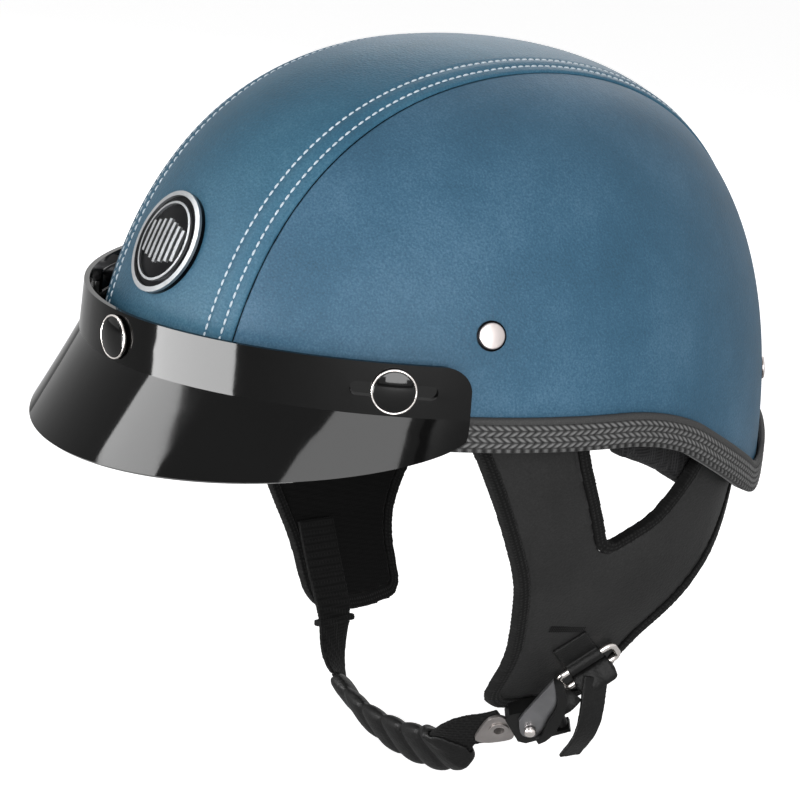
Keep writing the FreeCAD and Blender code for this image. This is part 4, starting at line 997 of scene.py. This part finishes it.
for node, material in {
        "shell": SHELL, "foam_liner": EPS, "visor": VISOR, "visor_sockets": STEEL,
        "shell_studs": STEEL, "stud_washers": STEEL, "strap_washers": STEEL,
        "badge_plate": PEWTER_DARK, "badge_relief": PEWTER, "buckle_frame": BUCKLE,
        "plate_eyelet": PLATE_STEEL, "strap_ring": BRIGHT}.items():
    repaint(node, material)


# ---------------------------------------------------------------- buckle plates

BUCKLE_SPOT = Vector((68.2, 8.0, -132.5))
buckle_along = Vector((0.66, 0.62, 0.42)).normalized()
buckle_out = Vector((0.74, -0.456, -0.491))
buckle_out = (buckle_out - buckle_along * buckle_out.dot(buckle_along)).normalized()
buckle_across = buckle_out.cross(buckle_along)


def smooth_outline(corners, steps=8):
    """Closed curve through points; a point given twice stays a sharp corner."""
    corners = [np.array(c, float) for c in corners]
    count = len(corners)
    line = []
    for i in range(count):
        a, b, c, d = (corners[(i + k) % count] for k in (-1, 0, 1, 2))
        if np.allclose(b, c):
            continue
        start = np.zeros(2) if np.allclose(a, b) else (c - a) / 2
        end = np.zeros(2) if np.allclose(c, d) else (d - b) / 2
        for k in range(steps):
            t = k / steps
            line.append((2 * t ** 3 - 3 * t ** 2 + 1) * b + (t ** 3 - 2 * t ** 2 + t) * start
                        + (-2 * t ** 3 + 3 * t ** 2) * c + (t ** 3 - t ** 2) * end)
    return line


def buckle_plate(name, corners, low, high, edge, hole=None):
    """Plate with a smooth outline and rounded edges, in the buckle's own axes."""
    made = bmesh.new()

    def ring(line):
        spots = [made.verts.new((x, y, low)) for x, y in line]
        return [made.edges.new(pair) for pair in zip(spots, spots[1:] + spots[:1])]

    loops = ring(smooth_outline(corners))
    if hole:
        x, y, radius = hole
        loops += ring([(x + radius * math.cos(k * math.pi / 16),
                        y + radius * math.sin(k * math.pi / 16)) for k in range(32)])
    bmesh.ops.triangle_fill(made, use_beauty=True, edges=loops)
    grown = bmesh.ops.extrude_face_region(made, geom=list(made.faces))
    raised = [v for v in grown["geom"] if isinstance(v, bmesh.types.BMVert)]
    bmesh.ops.translate(made, verts=raised, vec=(0, 0, high - low))
    bmesh.ops.recalc_face_normals(made, faces=list(made.faces))
    for vert in made.verts:
        x, y, z = vert.co
        spot = BUCKLE_SPOT + buckle_along * x + buckle_across * y + buckle_out * z
        vert.co = spot * MM
    mesh = bpy.data.meshes.new(name)
    made.to_mesh(mesh)
    made.free()
    obj = linked(name, mesh)
    bevel = obj.modifiers.new("Edge", "BEVEL")
    bevel.width = edge * MM
    bevel.segments = 3
    bevel.limit_method = "ANGLE"
    bevel.angle_limit = math.radians(40)
    baked(obj).data.set_sharp_from_angle(angle=math.radians(35))
    return obj


lever = buckle_plate("lever_plate", [
    (18.6, 25.6), (18.6, 25.6), (15.0, 11.6), (8.4, 3.1), (3.4, -3.6), (0.4, -5.0),
    (-2.8, -3.9), (-4.0, -0.6), (-2.6, 5.2), (0.2, 9.5)], low=0.2, high=1.7, edge=0.25)
finish_piece(lever, "lever", STEEL, "steel", "buckle_lever")
grip = buckle_plate("lever_edge", [
    (18.7, 25.9), (18.7, 25.9), (21.0, 21.6), (19.6, 13.0), (16.0, 5.6), (9.6, -3.4),
    (4.4, -7.6), (0.5, -8.6), (0.5, -8.6), (0.5, -5.15), (0.5, -5.15), (3.55, -3.75),
    (8.55, 3.0), (15.15, 11.5)], low=0.2, high=3.2, edge=0.6)
finish_piece(grip, "lever", GRIP, "grip_rubber", "lever_grip")
tongue = buckle_plate("tongue_metal", [
    (4.0, -3.5), (4.0, 3.5), (2.5, 5.0), (-8.0, 5.0), (-8.0, 5.0), (-9.0, 7.0), (-11.5, 8.0),
    (-15.5, 7.0), (-23.0, -0.8), (-22.5, -4.4), (-18.5, -6.8), (-10.5, -8.0), (-8.0, -5.0),
    (-8.0, -5.0), (2.5, -5.0)], low=-3.65, high=-2.25, edge=0.3, hole=(-12.7, 0.0, 2.9))
finish_piece(tongue, "chin", PLATE_STEEL, "steel", "tongue_plate")


# ---------------------------------------------------------------- leather fold at the ring

def leather_fold():
    """Folded leather round the ring's lower bar, over the top of the hanging strap."""
    ring_middle = np.array((78.0, 26.5, -106.3))
    ring_long = np.array((11.0, 19.0, 17.0))
    ring_long /= np.linalg.norm(ring_long)
    ring_short, hang = np.array((-3.0, 6.0, -8.4)), np.array((0.2, -0.15, -1.0))
    for way in (ring_short, hang):
        way -= ring_long * (way @ ring_long)
        way /= np.linalg.norm(way)
    out = np.cross(ring_long, hang)
    out *= np.sign(out[0])
    centre = ring_middle + ring_short * 4.7 + hang * 2.2 + out * 0.6
    rows, columns = 26, 40
    half_long, half_wide, half_thick = 8.6, 5.2, 2.75
    points = []
    for i in range(rows):
        share = -1 + 2 * i / (rows - 1)
        full = (1 - abs(share) ** 9) ** 0.5
        dent = 1 - 0.07 * math.cos(share * 9.0)
        for k in range(columns):
            turn = 2 * math.pi * k / columns
            c, d = math.cos(turn), math.sin(turn)
            u = math.copysign(abs(c) ** 0.6, c) * (half_wide * (0.25 + 0.75 * full))
            w = math.copysign(abs(d) ** 0.7, d) * (half_thick * dent * (0.3 + 0.7 * full))
            points.append(centre + ring_long * share * half_long + hang * u + out * w)
    return mesh_object("leather_fold", points, tube_faces(rows, columns))


finish_piece(leather_fold(), "helmet", FOLD_LEATHER, "leather_black")


# ---------------------------------------------------------------- caps and rivets

RIVET_SPOTS = (("front", (-60.7, 40.4)), ("rear", (117.0, 5.0)))
HEAD_LIP = 0.5
VISOR_HALF_WIDTH, VISOR_FRONT, SNAP_LEVEL, SNAP_BACK = 123.0, 153.5, 22.0, -97.5
SLOT_ENDS, SLOT_HALF, BAND_BACK, SHADE_STRIP_THICK = (-115.5, -79.0), 4.6, 2.15, 0.5


def turned(name, profile, spot, axis, sides=64):
    """A turned piece: (radius, height) pairs about an axis."""
    axis = Vector(axis).normalized()
    turn = axis.to_track_quat("Z", "Y").to_matrix()
    points = []
    for radius, height in profile:
        for k in range(sides):
            angle = 2 * math.pi * k / sides
            way = turn @ Vector((radius * math.cos(angle), radius * math.sin(angle), height))
            points.append(tuple(Vector(spot) + way))
    return mesh_object(name, points, tube_faces(len(profile), sides))


def dome_profile(radius, low, high, crown):
    """Round head: side wall, rolled lip, then a shallow crown."""
    inner = radius - HEAD_LIP
    profile = [(radius * 0.6, low), (radius - 0.3, low), (radius, low + 0.3),
               (radius, high - HEAD_LIP)]
    for k in range(1, 7):
        turn = math.pi / 2 * k / 6
        profile.append((inner + HEAD_LIP * math.cos(turn),
                        high - HEAD_LIP + HEAD_LIP * math.sin(turn)))
    for k in range(1, 12):
        share = 1 - k / 11.5
        profile.append((inner * share, high + crown * (1 - share * share)))
    return profile


def dome_place(y, z, side):
    """Place on the leather at the side with its outward unit normal."""
    def across(a, b):
        return float(dome_x(np.array(a), np.array(b), 0.0))
    step = 0.5
    slope_y = across(y + step, z) - across(y - step, z)
    slope_z = across(y, z + step) - across(y, z - step)
    normal = Vector((side, -slope_y, -slope_z)).normalized()
    return Vector((side * across(y, z), y, z)), normal


ball = turned("pivot_ball", [(0.4, -1.7), (1.5, -1.6), (1.5, 1.75)] + [
    (2.5 * math.cos(math.radians(a)), 2.7 + 1.9 * math.sin(math.radians(a)))
    for a in range(-30, 90, 10)], BUCKLE_SPOT, buckle_out)
finish_piece(ball, "helmet", BRIGHT, "bright_metal", "lever_pivot")

for place, (y, z) in RIVET_SPOTS:
    for side, sign in (("left", 1), ("right", -1)):
        spot, normal = dome_place(y, z, sign)
        head = turned("rivet_head_%s_%s" % (place, side),
                      dome_profile(4.7, low=0.15, high=1.7, crown=0.22), spot, normal)
        finish_piece(head, "helmet", RIVET, "bright_metal",
                     "strap_rivet_%s_%s" % (place, side))
        seat = turned("rivet_seat_%s_%s" % (place, side),
                      [(3.0, 0.1), (5.1, 0.1), (5.45, 0.3), (5.45, 0.6), (5.2, 0.8),
                       (3.0, 0.8)], spot, normal)
        finish_piece(seat, "helmet", PEWTER_DARK, "bright_metal")


def band_place(y, side):
    """Place on the visor's band at the level of the snaps, with its outward normal."""
    def across(back):
        return VISOR_HALF_WIDTH * float(conic(np.array(back / VISOR_FRONT), FRONT_FULL))
    slope = across(y + 0.5) - across(y - 0.5)
    return Vector((side * across(y), y, SNAP_LEVEL)), Vector((side, -slope, 0)).normalized()


SNAPS = {"centre": (Vector((0, -VISOR_FRONT, SNAP_LEVEL)), Vector((0, -1, 0))),
         "left": band_place(SNAP_BACK, 1), "right": band_place(SNAP_BACK, -1)}
for name, (spot, normal) in SNAPS.items():
    cap = turned("snap_cap_" + name, dome_profile(7.5, low=0.2, high=1.5, crown=0.9),
                 spot, normal)
    finish_piece(cap, "helmet", CAP, "black_metal", "visor_cap_" + name)
    collar = turned("snap_collar_" + name,
                    [(6.9, 0.15), (7.9, 0.15), (8.1, 0.35), (8.1, 1.1), (7.9, 1.35),
                     (7.6, 1.35), (7.4, 1.1), (6.9, 1.1)], spot, normal)
    finish_piece(collar, "helmet", BRIGHT, "bright_metal")


# Dark strips behind the visor's slots are painted shade: they make the slots look dark inside.
for name, sign in (("left", 1), ("right", -1)):
    points = []
    for y in np.linspace(*SLOT_ENDS, 30):
        point, normal = band_place(y, sign)
        points.append([tuple(point - normal * BAND_BACK + Vector((0, 0, z)))
                       for z in np.linspace(-SLOT_HALF, SLOT_HALF, 9)])
    strip = mesh_object("slot_shade_strip_" + name, points, grid_faces(30, 9))
    if strip.data.polygons[0].normal.x * sign < 0:
        strip.data.flip_normals()
    thickened(strip, SHADE_STRIP_THICK)
    finish_piece(strip, "helmet", CAP, "visor_plastic")
